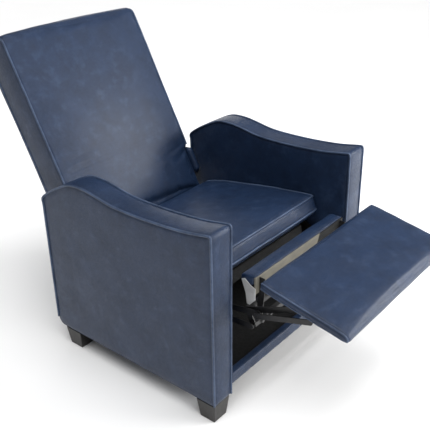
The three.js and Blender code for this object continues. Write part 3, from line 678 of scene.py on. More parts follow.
def thread_material():
    if "Thread" in bpy.data.materials:
        return bpy.data.materials["Thread"]
    finish = bpy.context.scene.recliner_finish
    material, tree, shader, place = new_material("Thread")
    twist = noise(tree, stretched(tree, place, (1, 1, 1)), 900.0, 2.0)
    dark = [0.5 * c for c in finish.thread]
    tree.links.new(mix_colour(tree, twist, dark, finish.thread), shader.inputs["Base Color"])
    tree.links.new(remap(tree, twist, 0.2, 0.8, 0.45, 0.7), shader.inputs["Roughness"])
    bump(tree, shader, twist, 0.5, 0.2 * MM)
    return material


def metal_material(name, colour, metallic, roughness):
    """Painted, plated or uncoated steel with smudges and fine specks."""
    if name in bpy.data.materials:
        return bpy.data.materials[name]
    material, tree, shader, place = new_material(name, metallic=metallic)
    group = tree.nodes.new("ShaderNodeGroup")
    group.node_tree = brushed_dust()
    tree.links.new(place, group.inputs["Vector"])
    pale = [min(1.0, c * 1.7 + 0.004) for c in colour]
    tree.links.new(mix_colour(tree, group.outputs["Smudge"], colour, pale), shader.inputs["Base Color"])
    level = remap(tree, group.outputs["Smudge"], 0.0, 1.0, roughness - 0.08, roughness + 0.1)
    tree.links.new(level, shader.inputs["Roughness"])
    bump(tree, shader, group.outputs["Specks"], 0.35, 0.15 * MM)
    return material


def wood_material(name, colour, grain_axis, roughness):
    """Timber with its grain drawn out along one axis."""
    if name in bpy.data.materials:
        return bpy.data.materials[name]
    material, tree, shader, place = new_material(name)
    scale = [70.0, 70.0, 70.0]
    scale[grain_axis] = 5.0
    grain = noise(tree, stretched(tree, place, scale), 1.0, 6.0, 0.65)
    pores = noise(tree, stretched(tree, place, [s * 9 for s in scale]), 1.0, 2.0)
    dark = [0.45 * c for c in colour]
    streak = remap(tree, grain, 0.35, 0.66)
    tree.links.new(mix_colour(tree, streak, dark, colour), shader.inputs["Base Color"])
    sheen = remap(tree, pores, 0.3, 0.7, roughness + 0.1, roughness - 0.08)
    tree.links.new(sheen, shader.inputs["Roughness"])
    bump(tree, shader, calculate(tree, "ADD", grain, pores), 0.4, 0.35 * MM)
    return material


def cloth_material(name, colour, pitch, contrast):
    """Woven cloth: two crossed sets of threads."""
    if name in bpy.data.materials:
        return bpy.data.materials[name]
    material, tree, shader, place = new_material(name, sheen_weight=0.03)
    heights = []
    for direction in ("X", "Z"):
        threads = tree.nodes.new("ShaderNodeTexWave")
        threads.bands_direction = direction
        threads.inputs["Scale"].default_value = 0.314 / pitch
        threads.inputs["Distortion"].default_value = 0.6
        threads.inputs["Detail"].default_value = 2.0
        tree.links.new(place, threads.inputs["Vector"])
        heights.append(threads.outputs["Fac"])
    weave = calculate(tree, "MAXIMUM", *heights)
    slub = noise(tree, place, 90.0, 3.0)
    tone = calculate(tree, "MULTIPLY", weave, remap(tree, slub, 0.3, 0.7, 0.7, 1.0))
    dark = [c * (1 - contrast) for c in colour]
    tree.links.new(mix_colour(tree, tone, dark, colour), shader.inputs["Base Color"])
    tree.links.new(remap(tree, slub, 0.3, 0.7, 0.8, 0.95), shader.inputs["Roughness"])
    bump(tree, shader, weave, 0.6, 0.3 * MM)
    return material


def steel():
    # Black paint darkened to near black: painted shade inside the chair.
    return metal_material("Painted steel", bpy.context.scene.recliner_finish.steel, 0.0, 0.42)


def plated():
    return metal_material("Plated steel", (0.66, 0.65, 0.63), 1.0, 0.26)


def bar_steel():
    return metal_material("Worn painted steel", (0.036, 0.036, 0.037), 0.0, 0.55)


def zinc():
    return metal_material("Zinc plate", (0.50, 0.50, 0.50), 0.35, 0.45)


def spring_steel():
    return metal_material("Spring steel", (0.20, 0.21, 0.22), 1.0, 0.38)


def dust_cloth():
    # Black cloth, darkened to near black as painted shade under the seat.
    return cloth_material("Dust cloth", (0.0015, 0.0015, 0.0018), 1.1 * MM, 0.6)


def backing_cloth():
    return cloth_material("Backing cloth", bpy.context.scene.recliner_finish.backing, 1.3 * MM, 0.4)


def cloth_and_painted_shadow_board():
    """Backing cloth over the left part of a board, with a slanted end; the rest is a near-black painted shadow.
    """
    name = "Part covered board"
    if name in bpy.data.materials:
        return bpy.data.materials[name]
    finish = bpy.context.scene.recliner_finish
    material, tree, shader, place = new_material(name)
    axes = tree.nodes.new("ShaderNodeSeparateXYZ")
    tree.links.new(place, axes.inputs["Vector"])
    slant = calculate(tree, "MULTIPLY", axes.outputs["Z"], SHADOW_SLANT)
    reach = calculate(tree, "ADD", axes.outputs["X"], slant)
    painted_shadow = remap(tree, reach, CLOTH_SHADOW_EDGE - 0.6 * MM, CLOTH_SHADOW_EDGE + 0.6 * MM)
    group = tree.nodes.new("ShaderNodeGroup")
    group.node_tree = brushed_dust()
    tree.links.new(place, group.inputs["Vector"])
    dim = [0.72 * c for c in finish.backing]
    cloth = mix_colour(tree, group.outputs["Smudge"], dim, finish.backing)
    # Past the slanted edge the board takes the near-black colour: a painted shadow.
    tree.links.new(mix_colour(tree, painted_shadow, cloth, finish.steel), shader.inputs["Base Color"])
    tree.links.new(remap(tree, group.outputs["Smudge"], 0.0, 1.0, 0.75, 0.9), shader.inputs["Roughness"])
    bump(tree, shader, group.outputs["Specks"], 0.5, 0.3 * MM)
    return material


# ---- padding ----
def seam_distance(co, seams):
    """Distance from every point to the nearest seam."""
    dense = np.vstack([resample(seam, 3 * MM) for seam in seams])
    tree = KDTree(len(dense))
    for i, point in enumerate(dense):
        tree.insert(point, i)
    tree.balance()
    return np.array([tree.find(point)[2] for point in co])


def remeshed(made, voxel, shrink, smoothing):
    """An even mesh of the same shape, a little smaller, for the padding to swell from."""
    with_modifier(made, "REMESH", mode="VOXEL", voxel_size=voxel)
    with_modifier(made, "SMOOTH", factor=0.5, iterations=smoothing)
    co = coordinates(made.data)
    set_coordinates(made.data, co - normals(made.data) * shrink)
    return made


def swell(made, pinned, pressure, cap):
    """Fills the piece by cloth simulation, holds it at its seams and limits how far any point moves."""
    start = coordinates(made.data)
    outward = normals(made.data)
    group = made.vertex_groups.new(name="held")
    for index in np.nonzero(pinned > 0.02)[0]:
        group.add([int(index)], float(pinned[index]), "REPLACE")
    modifier = made.modifiers.new("Padding", "CLOTH")
    cloth = modifier.settings
    cloth.quality = 5
    cloth.mass = 0.3
    cloth.tension_stiffness = 12
    cloth.compression_stiffness = 12
    cloth.shear_stiffness = 5
    cloth.bending_stiffness = 2.0
    cloth.use_pressure = True
    cloth.uniform_pressure_force = pressure
    cloth.effector_weights.gravity = 0
    cloth.vertex_group_mass = "held"
    cloth.pin_stiffness = 1.0
    modifier.collision_settings.use_self_collision = False
    modifier.point_cache.frame_start = 1
    modifier.point_cache.frame_end = 20
    scene = bpy.context.scene
    for moment in range(1, 21):
        scene.frame_set(moment)
    apply_modifiers(made)
    moved = coordinates(made.data) - start
    sunk = np.minimum((moved * outward).sum(1) + 1 * MM, 0)
    moved -= outward * sunk[:, None]
    length = np.maximum(np.linalg.norm(moved, axis=1, keepdims=True), 1e-9)
    set_coordinates(made.data, start + moved / length * cap * np.tanh(length / cap))
    made.vertex_groups.clear()
    scene.frame_set(1)
    return made


def sewn(made, seams, seed, reach=9 * MM):
    """Draws the surface in along its seams and gathers it there."""
    sizes = bpy.context.scene.recliner_sizes
    co = coordinates(made.data)
    distance = seam_distance(co, seams)
    channel = sizes.seam_depth * np.exp(-((distance / (0.55 * reach)) ** 2))
    gather = sizes.pucker * np.exp(-distance / (2 * reach)) * ripple(co, 26 * MM, seed)
    soft = 0.9 * MM * ripple(co, 150 * MM, seed + 1)
    set_coordinates(made.data, co + normals(made.data) * (gather + soft - channel)[:, None])
    return made


def on_surface(made, seam, lift, step=6 * MM):
    """A seam laid on the finished surface, lifted off it by lift."""
    work = bmesh.new()
    work.from_mesh(made.data)
    tree = BVHTree.FromBMesh(work)
    path = []
    for point in resample(seam, step):
        place, normal, _, _ = tree.find_nearest(Vector(point))
        path.append(place + normal * lift)
    work.free()
    path = np.array(path)
    for _ in range(4):
        path[1:-1] = 0.25 * path[:-2] + 0.5 * path[1:-1] + 0.25 * path[2:]
    return path


def welts(name, paths, body, radius=None):
    sizes = bpy.context.scene.recliner_sizes
    # The welts' leather is lightened fully to the pale colour: a painted highlight along every seam.
    material = leather_material("Leather welt", 1.0)
    made = grow(
        name, paths, cord_tree(), radius=radius or sizes.welt_radius, sides=10, step=5 * MM, material=material,
    )
    return finish_piece(made, body, material)


def stitches(name, paths, body, share=0.36):
    sizes = bpy.context.scene.recliner_sizes
    material = thread_material()
    made = grow(
        name, paths, stitch_tree(), pitch=sizes.stitch_pitch, width=sizes.stitch_width, share=share,
        material=material,
    )
    return finish_piece(made, body, material)


def padded_piece(name, made, seams, body, node, cap, shrink, seed, smoothing=4):
    """A leather cushion: simulated padding, held at its seams, then sewn and smoothed."""
    sizes = bpy.context.scene.recliner_sizes
    remeshed(made, sizes.voxel, shrink, smoothing)
    distance = seam_distance(coordinates(made.data), seams)
    held = np.clip(1.25 - distance / (1.6 * sizes.voxel + shrink), 0, 1)
    swell(made, held, sizes.pressure, cap)
    with_modifier(made, "SUBSURF", levels=1, render_levels=1)
    sewn(made, seams, seed)
    smooth_shade(made)
    made.name = name
    finish_piece(made, body, leather_material(), [node])
    return made


# ---- arms ----
def arm_profile():
    """Side outline of an arm, from the lower front corner up, over the top and down the rear."""
    dip = 24 * MM
    drop = 85 * MM
    corner = 10 * MM
    top = [
        (0.0, 3 * corner), (0.0, corner), (0.0045, 2.6 * MM), (corner / ARM_DEPTH * 1.2, 0.6 * MM),
        (0.146, 0.6 * dip), (0.33, dip - MM), (0.52, dip - MM), (0.65, 10 * MM), (0.72, 5 * MM),
        (0.8, 9 * MM), (0.88, 0.38 * drop), (0.95, 0.7 * drop), (1.0, drop), (1.0, drop + 20 * MM),
    ]
    crest = catmull([(FRONT_Y + share * ARM_DEPTH, ARM_TOP - fall) for share, fall in top], 12)
    round_rear = 26 * MM
    angles = np.linspace(0, math.pi / 2, 6)
    rear = [(FRONT_Y + ARM_DEPTH - round_rear * (1 - math.cos(a)),
             ARM_FOOT + round_rear * (1 - math.sin(a))) for a in angles]
    front = [(FRONT_Y + 4 * MM, ARM_FOOT), (FRONT_Y, ARM_FOOT + 4 * MM)]
    return np.vstack([crest, rear, front])


def inner_x(z):
    """Distance from the chair's middle to an arm's inner face: the arm is thinner towards its foot."""
    taper = 7 * MM
    return ARM_INNER + taper * (ARM_TOP - z) / (ARM_TOP - ARM_FOOT)


def arm_rings(sizes):
    """Closed rings across an arm from its inner face to its outer face, for the right-hand arm."""
    outline = resample(arm_profile(), 6 * MM, closed=True)
    ahead = np.roll(outline, -1, axis=0) - np.roll(outline, 1, axis=0)
    ahead /= np.linalg.norm(ahead, axis=1, keepdims=True)
    normal = np.stack([-ahead[:, 1], ahead[:, 0]], axis=1)
    centre = outline.mean(0)
    normal *= np.sign(((outline - centre) * normal).sum(1, keepdims=True).mean())
    corner = sizes.arm_corner
    edge_in = outline - normal * corner
    spread = 0.29
    insets = [0.9, 0.75, 0.6, 0.46, 0.34, 0.24, 0.16, 0.11, 0.075, 0.05, 0.032, 0.02, 0.012, 0.006, 0.0]
    front_corner = outline[np.argmax(outline[:, 1] - outline[:, 0])]
    from_corner = np.linalg.norm(outline - front_corner, axis=1)
    front_seam = np.exp(-((from_corner / (3.5 * MM)) ** 2))
    rear_seam = np.exp(-(np.linalg.norm(outline - outline_at(outline, 0.845), axis=1) / (3.5 * MM)) ** 2)
    mitre = 1.8 * MM * (front_seam + rear_seam)

    def ring(flat, x):
        return np.column_stack([np.broadcast_to(x, len(flat)), flat])

    def face(share, outer):
        flat = centre + (edge_in - centre) * (1 - share)
        reach = share * spread
        channel = 1.6 * MM * math.exp(-((reach / (6 * MM)) ** 2))
        proud = sizes.arm_swell * (1 - math.exp(-reach / (38 * MM))) - channel
        level = ring(flat, 0 * flat[:, 0])
        wave = sizes.pucker * math.exp(-reach / (16 * MM)) * ripple(level, 30 * MM, 11 + outer)
        slack = 1.1 * MM * (1 - math.exp(-reach / (30 * MM))) * ripple(level, 190 * MM, 5 + outer)
        if outer:
            return ring(flat, ARM_OUTER + proud + wave + slack)
        return ring(flat, inner_x(flat[:, 1]) - proud - wave - slack)

    def band(share):
        low = inner_x(outline[:, 1]) + corner
        high = ARM_OUTER - corner
        x = low + (high - low) * share
        reach = min(share, 1 - share) * 0.072
        proud = sizes.arm_swell * math.sin(math.pi * share) - 1.4 * MM * math.exp(-((reach / (4 * MM)) ** 2))
        wave = sizes.pucker * math.exp(-reach / (12 * MM)) * ripple(ring(outline, x), 24 * MM, 21)
        level = proud + wave - mitre
        level = np.where(outline[:, 1] < ARM_FOOT + 6 * MM, np.minimum(level, 0), level)
        return ring(outline + normal * level[:, None], x)

    def turn(outer):
        rings = []
        for angle in (65, 45, 25):
            a = math.radians(angle)
            flat = outline - normal * (corner * (1 - math.cos(a)) + 0.8 * MM)
            away = corner * (1 - math.sin(a)) + 0.8 * MM
            rings.append(ring(flat, ARM_OUTER - away if outer else inner_x(flat[:, 1]) + away))
        return rings

    rings = [face(share, False) for share in insets]
    rings += turn(False)
    rings += [
        band(share)
        for share in (0.0, 0.04, 0.09, 0.16, 0.26, 0.38, 0.5, 0.62, 0.74, 0.84, 0.91, 0.96, 1.0)
    ]
    rings += reversed(turn(True))
    rings += [face(share, True) for share in reversed(insets)]
    return rings


def outline_at(outline, share):
    """The point on the upper side of an outline at a share of the arm's depth."""
    y = FRONT_Y + share * ARM_DEPTH
    upper = outline[outline[:, 1] > 0.5 * (ARM_TOP + ARM_FOOT)]
    return upper[np.argmin(abs(upper[:, 0] - y))]


def arm_welt_paths(sizes, side):
    """The outer and inner seams of an arm, from the floor end of the front to the floor end of the rear."""
    outline = arm_profile()
    open_line = resample(np.vstack([outline[-1:], outline[:-7]]), 5 * MM)
    rear = np.column_stack([
        np.full(60, FRONT_Y + ARM_DEPTH), np.linspace(open_line[-1][1], ARM_FOOT + 30 * MM, 60),
    ])
    line = resample(np.vstack([open_line, rear[1:]]), 5 * MM)
    ahead = np.gradient(line, axis=0)
    ahead /= np.linalg.norm(ahead, axis=1, keepdims=True)
    out = np.stack([-ahead[:, 1], ahead[:, 0]], axis=1)
    corner = sizes.arm_corner
    lift = -0.26 * corner
    flat = line + out * lift
    outer = np.column_stack([np.full(len(flat), side * (ARM_OUTER + lift)), flat])
    inner = np.column_stack([side * (inner_x(flat[:, 1]) - lift - 0.2 * MM), flat])
    return [outer, inner]


def make_arms():
    sizes = bpy.context.scene.recliner_sizes
    rings = arm_rings(sizes)
    for side, word in SIDES:
        mirrored = [ring * (side, 1, 1) for ring in rings]
        made = loft(f"arm_{word}", mirrored)
        finish_piece(made, "base", leather_material(), [f"arm_cover_{word}"])
        paths = arm_welt_paths(sizes, side)
        welts(f"arm_welts_{word}", paths, "base")
        threads = arm_stitch_paths(sizes, side)
        stitches(f"arm_stitches_{word}", threads, "base")


def arm_stitch_paths(sizes, side):
    """Top-stitching across the band beside its two cross seams."""
    outline = resample(arm_profile(), 2 * MM)
    paths = []
    for share in (0.022, 0.835, 0.857):
        y, z = outline_at(outline, share)
        across = np.linspace(inner_x(z) + 9 * MM, ARM_OUTER - 9 * MM, 24)
        bulge = sizes.arm_swell * np.sin(np.linspace(0.1, math.pi - 0.1, 24)) + 0.1 * MM
        paths.append(np.column_stack([side * across, np.full(24, y), z + bulge]))
    return paths


# ---- seat ----
def seat_seams():
    """The seams around the seat's top panel and along its lower edge."""
    half = SEAT_HALF - 2 * MM
    front = 3 * MM
    side_line = [
        (front, -5 * MM), (0.12, 4 * MM), (0.24, 7 * MM), (0.38, 7 * MM), (SEAT_LENGTH - 10 * MM, -1 * MM),
    ]
    top_left = [SEAT.place(-half, u, w) for u, w in side_line]
    top_right = [SEAT.place(half, u, w) for u, w in side_line]
    top_front = [SEAT.place(x, front, -5 * MM) for x in np.linspace(-half, half, 12)]
    low_front = [SEAT.place(x, -9 * MM, -50 * MM) for x in np.linspace(-half, half, 12)]
    return [catmull(top_left, 10), catmull(top_right, 10), np.array(top_front), np.array(low_front)]


def warped_start(start, warp):
    """An even mesh of a start shape with its corners rounded."""
    with_modifier(start, "REMESH", mode="VOXEL", voxel_size=5 * MM)
    set_coordinates(start.data, warp(coordinates(start.data)))
    return start


def make_seat():
    seams = [rounded_front(resample(seam, 6 * MM)) for seam in seat_seams()]
    start = warped_start(node_copy("seat_cushion", "seat"), rounded_front)
    made = padded_piece(
        "seat_leather", start, seams, "seat", "seat_cushion", cap=17 * MM, shrink=1.5 * MM, seed=31,
    )
    left, right, front, low = [on_surface(made, seam, 1.6 * MM) for seam in seams]
    welts("seat_welts", [left, right, front, low], "seat", 3 * MM)
    row_xs = np.linspace(-SEAT_HALF + 30 * MM, SEAT_HALF - 30 * MM, 16)
    rows = [
        on_surface(made, [SEAT.place(x, u, w) for x in row_xs], 0.35 * MM)
        for u, w in ((13 * MM, 4 * MM), (-6 * MM, -16 * MM))
    ]
    stitches("seat_stitches", rows, "seat")


# ---- back ----
def back_seams():
    """The side seams of the back, over its rolled top, and the seam around its rear."""
    seams = []
    half = BACK_HALF - 2 * MM
    turns = np.linspace(0, math.pi / 2, 7)
    for side, _ in SIDES:
        line = [(NOTCH_TOP + 6 * MM, 2 * MM), (BACK_TOP - BACK_ROLL, 2 * MM)]
        line += [(BACK_TOP - BACK_ROLL + BACK_ROLL * math.sin(a) - 2 * MM * math.sin(a),
                  2 * MM + BACK_ROLL * (1 - math.cos(a))) for a in turns[1:]]
        line += [(BACK_TOP - 2 * MM, BACK_DEPTH - 3 * MM)]
        seams.append(np.array([BACK.place(side * half, u, w) for u, w in line]))
    for side, _ in SIDES:
        seams.append(np.array([BACK.place(side * half, u, BACK_DEPTH - 3 * MM)
                               for u in np.linspace(BACK_TOP - 2 * MM, NOTCH_TOP + 6 * MM, 8)]))
    across = np.linspace(-half, half, 10)
    seams.append(np.array([BACK.place(x, BACK_TOP - 2 * MM, BACK_DEPTH - 3 * MM) for x in across]))
    return seams


def round_corner(across, along, half, end, radius):
    """Draws the square corner of a flat outline in to a round one; returns the new across and along."""
    out = np.maximum(abs(across) - (half - radius), 0)
    up = np.maximum(along - (end - radius), 0)
    reach = np.hypot(out, up)
    share = np.where(reach > 1e-9, np.maximum(out, up) / np.maximum(reach, 1e-9), 1)
    both = (out > 0) & (up > 0)
    across = np.where(both, np.sign(across) * (half - radius + out * share), across)
    along = np.where(both, end - radius + up * share, along)
    return across, along


def rounded_top(points):
    """Rounds the two top corners of the back."""
    u, w = BACK.read(points)
    x, along = round_corner(points[:, 0], u, BACK_HALF, BACK_TOP, BACK_CORNER)
    high = np.clip(along / BACK_TOP, 0, 1) ** 4
    along = along + BACK_CROWN * high * (1 - 0.6 * (x / BACK_HALF) ** 4)
    return np.column_stack([x, BACK.origin + along[:, None] * BACK.along + w[:, None] * BACK.across])


def rounded_front(points):
    """Rounds the two front corners of the seat in plan."""
    u, w = SEAT.read(points)
    x, along = round_corner(points[:, 0], -u, SEAT_HALF, 10 * MM, SEAT_CORNER)
    return np.column_stack([x, SEAT.origin - along[:, None] * SEAT.along + w[:, None] * SEAT.across])


def back_start():
    """The back cushion's solid with the pocket for its timber frame closed."""
    made = node_copy("back_cushion", "back")
    work = bmesh.new()
    work.from_mesh(made.data)
    points = np.array([v.co[:] for v in work.verts])
    _, depth = BACK.read(points)
    frame_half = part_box("back_rail_lower")[1].x + 2 * MM
    floor = [v for v, d in zip(work.verts, depth) if abs(d - 70 * MM) < 1 * MM and abs(v.co.x) < frame_half]
    bmesh.ops.delete(work, geom=floor, context="VERTS")
    rim = [e for e in work.edges if e.is_boundary]
    bmesh.ops.holes_fill(work, edges=rim, sides=0)
    bmesh.ops.recalc_face_normals(work, faces=work.faces)
    work.to_mesh(made.data)
    work.free()
    return made


def make_back():
    seams = [rounded_top(resample(seam, 6 * MM)) for seam in back_seams()]
    made = padded_piece(
        "back_leather", warped_start(back_start(), rounded_top), seams, "back", "back_cushion",
        cap=13 * MM, shrink=1.5 * MM, seed=41,
    )
    paths = [on_surface(made, seam, 1.8 * MM) for seam in seams]
    welts("back_welts", paths, "back", 3 * MM)


def panel_rings(half, low, high, thickness, crown, place):
    """Rings of a thin crowned panel with rounded edges, from its half width, ends and thickness."""
    middle = 0.5 * (low + high)
    tall = 0.5 * (high - low)
    corner = 9 * MM
    ring = []
    for k in range(4):
        for a in np.linspace(0, math.pi / 2, 5) + k * math.pi / 2:
            sx, su = np.sign(math.cos(k * math.pi / 2 + 0.7)), np.sign(math.sin(k * math.pi / 2 + 0.7))
            ring.append((
                sx * (half - corner) + corner * math.cos(a),
                su * (tall - corner) + corner * math.sin(a),
            ))
    ring = resample(ring, 8 * MM, closed=True)
    rings = []
    steps = [(1.0, 0.0), (0.55, 0.0), (0.2, 0.0), (0.06, 0.0), (0.0, 0.06), (0.0, 0.3), (0.0, 0.7), (0.0, 0.94)]
    steps += [
        (0.012, 1.0), (0.04, 1.0), (0.09, 1.0), (0.18, 1.0), (0.32, 1.0), (0.52, 1.0), (0.75, 1.0), (0.97, 1.0),
    ]
    for share, through in steps:
        inset = 1 - 0.98 * share
        rise = crown * (1 - (1 - share) ** 4) if through == 1.0 else 0.0
        depth = thickness * through + rise
        points = [place(x * inset, middle + u * inset, depth) for x, u in ring]
        rings.append(np.array([p[:] for p in points]))
    return rings


def make_back_panel():
    """The outer panel behind the back."""
    def place(x, u, w):
        return BACK.place(x, u, 114.5 * MM + w)

    made = loft("back_outer_leather", panel_rings(
        BACK_HALF - 5 * MM, BACK_LOW + 4 * MM, BACK_TOP - 4 * MM, 6 * MM, 5 * MM, place,
    ))
    narrow_below_notch(made)
    sewn(made, [np.array([BACK.place(0, 0.3, 0.5)] * 2)], 52)
    finish_piece(made, "back", leather_material(), ["back_outer_panel"])
    rows = []
    for side, _ in SIDES:
        rows.append(np.array([BACK.place(side * (BACK_HALF - 17 * MM), u, 124 * MM)
                              for u in np.linspace(NOTCH_TOP + 10 * MM, BACK_TOP - 18 * MM, 10)]))
    rows.append(np.array([BACK.place(x, BACK_TOP - 18 * MM, 124 * MM)
                          for x in np.linspace(-BACK_HALF + 17 * MM, BACK_HALF - 17 * MM, 10)]))
    stitches("back_outer_stitches", [on_surface(made, row, 0.3 * MM) for row in rows], "back")


def narrow_below_notch(made):
    """Draws a back panel in beside the hinges, below the top of the notch."""
    co = coordinates(made.data)
    u, _ = BACK.read(co)
    low = np.clip((NOTCH_TOP + 6 * MM - u) / (8 * MM), 0, 1)
    side = np.clip((abs(co[:, 0]) / BACK_HALF - 0.8) / 0.2, 0, 1)
    co[:, 0] -= np.sign(co[:, 0]) * NOTCH_WIDTH * low * side
    set_coordinates(made.data, co)


def make_ears():
    """A rolled leather ear beside the lower back on each side."""
    for side, word in SIDES:
        low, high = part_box(f"back_ear_{word}")
        inner = min(abs(low.x), abs(high.x)) - 1.2 * MM
        outer = max(abs(low.x), abs(high.x)) + 1 * MM
        middle = 0.5 * (inner + outer)
        rings = []
        for share in np.linspace(0, 1, 26):
            u = 4 * MM + share * (NOTCH_TOP - 4 * MM)
            taper = share * 5 if share < 0.2 else (1 - share) * 6 if share > 0.83 else 1
            close = math.sin(math.pi * min(1, max(0.02, taper)) / 2)
            width = (outer - inner) * 0.5 * close
            depth = 26 * MM * close
            ring = []
            for a in np.linspace(0, 2 * math.pi, 28, endpoint=False):
                c, s = math.cos(a), math.sin(a)
                full = 1 / (abs(c) ** 3 + abs(s) ** 3) ** (1 / 3)
                ring.append(BACK.place(side * (middle + width * c * full), u, 21 * MM + depth * s * full)[:])
            rings.append(np.array(ring))
        made = loft(f"back_ear_{word}_leather", rings)
        finish_piece(made, "back", leather_material(), [f"back_ear_{word}"])


# ---- footrest ----
def footrest_seams():
    """Seams along both ends of the pad, above and below its boxing."""
    seams = []
    half = PAD_HALF - 1.5 * MM
    nose = 12 * MM
    turns = np.linspace(0, math.pi / 2, 5)
    for side, _ in SIDES:
        top = [(2 * MM, -2 * MM), (PANEL_LENGTH - nose, -1 * MM)]
        top += [
            (PANEL_LENGTH - nose + (nose - MM) * math.sin(a), -MM - nose * (1 - math.cos(a)))
            for a in turns[1:]
        ]
        top += [(PANEL_LENGTH - 3 * MM, -PANEL_PAD + 2 * MM)]
        seams.append(np.array([PANEL.place(side * half, u, w) for u, w in top]))
        low = [(2 * MM, -PANEL_PAD + 1.5 * MM), (PANEL_LENGTH - 3 * MM, -PANEL_PAD + 1.5 * MM)]
        seams.append(np.array([PANEL.place(side * half, u, w) for u, w in low]))
    return seams


def rolled_front(points):
    """The pad's top falls away towards its front edge in a long round."""
    u, _ = PANEL.read(points)
    roll = 46 * MM
    share = np.clip((u - (PANEL_LENGTH - roll)) / roll, 0, 1)
    fall = 9 * MM * (1 - np.sqrt(np.maximum(1 - share**2, 0)))
    _, w = PANEL.read(points)
    upper = np.clip(1 + w / PANEL_PAD, 0, 1)
    points[:, 1:] -= (fall * upper)[:, None] * PANEL.across
    return points


def make_footrest():
    seams = [rolled_front(seam) for seam in footrest_seams()]
    start = warped_start(node_copy("footrest_pad", "footrest"), rolled_front)
    made = padded_piece(
        "footrest_leather", start, seams, "footrest", "footrest_pad",
        cap=7 * MM, shrink=0.3 * MM, seed=61, smoothing=3,
    )
    paths = [on_surface(made, seam, 1.2 * MM) for seam in seams]
    welts("footrest_welts", paths, "footrest", 2.3 * MM)


def make_flap():
    """The leather roll on top of the filler flap."""
    low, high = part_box("flap_pad")
    middle_y, middle_z = 0.5 * (low.y + high.y), 0.5 * (low.z + high.z)
    corners = [(low.x, high.y), (low.x, low.y), (high.x, low.y), (high.x, high.y)]
    edge = [np.array([(x0, y0, high.z - 2 * MM), (x1, y1, high.z - 2 * MM)])
            for (x0, y0), (x1, y1) in zip(corners, corners[1:])]
    made = padded_piece(
        "flap_leather", node_copy("flap_pad", "flap"), edge, "upper_links", "flap_pad",
        cap=4 * MM, shrink=1 * MM, seed=71, smoothing=3,
    )
    xs = np.linspace(low.x + 8 * MM, high.x - 8 * MM, 12)
    row = [np.array([(x, middle_y - 14 * MM, middle_z + 20 * MM) for x in xs])]
    stitches("flap_stitches", [on_surface(made, line, 0.3 * MM) for line in row], "upper_links")


# ---- rails, panels and under cloth ----
def soft_copy(node, name, width, segments=3):
    """A CAD node's shape with its sharp edges rounded."""
    made = node_copy(node, name)
    work = bmesh.new()
    work.from_mesh(made.data)
    bmesh.ops.dissolve_limit(work, angle_limit=math.radians(2), verts=work.verts, edges=work.edges)
    sharp = [e for e in work.edges if len(e.link_faces) == 2 and e.calc_face_angle(0) > math.radians(28)]
    bmesh.ops.bevel(
        work, geom=sharp, offset=width, segments=segments, profile=0.5, affect="EDGES", clamp_overlap=True,
    )
    bmesh.ops.triangulate(work, faces=[f for f in work.faces if len(f.verts) > 4])
    work.to_mesh(made.data)
    work.free()
    return made


def make_front_rail():
    """Leather over the front rail, top-stitched along its front edge."""
    low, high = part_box("front_rail_cover")
    middle = 0.5 * (low.y + high.y)
    rings = []
    depth, height = 0.5 * (high.y - low.y), 0.5 * (high.z - low.z)
    level = 0.5 * (low.z + high.z)
    turns = np.linspace(0, 2 * math.pi, 40, endpoint=False)
    for share in np.linspace(0, 1, 90):
        x = low.x + (high.x - low.x) * share
        soft = 0.6 * MM * math.sin(70 * share) + 0.5 * MM * math.sin(113 * share + 1)
        ring = []
        for a in turns:
            c, s = math.cos(a), math.sin(a)
            grow_by = 1 / (abs(c) ** 5 + abs(s) ** 5) ** 0.2
            ring.append((
                x,
                middle + (depth + 0.3 * soft) * c * grow_by,
                level + (height + 0.4 * soft) * s * grow_by,
            ))
        rings.append(np.array(ring))
    made = loft("front_rail_leather", rings)
    finish_piece(made, "base", leather_material(), ["front_rail_cover"])
    xs = np.linspace(low.x + 6 * MM, high.x - 6 * MM, 20)
    rows = [np.array([(x, y, high.z + 1 * MM) for x in xs]) for y in (low.y + 7 * MM, high.y - 7 * MM)]
    stitches("front_rail_stitches", [on_surface(made, row, 0.3 * MM) for row in rows], "base")


def make_rear_panel():
    low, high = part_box("rear_panel")
    rings = panel_rings(high.x - 1 * MM, low.z, high.z, high.y - low.y - 3 * MM, 4 * MM,
                        lambda x, u, w: Vector((x, low.y + w, u)))
    made = loft("rear_panel_leather", rings)
    finish_piece(made, "base", leather_material(), ["rear_panel"])
    xs = np.linspace(low.x + 12 * MM, high.x - 12 * MM, 12)
    line = np.array([(x, high.y + 4 * MM, high.z - 12 * MM) for x in xs])
    stitches("rear_panel_stitches", [on_surface(made, line, 0.3 * MM)], "base")


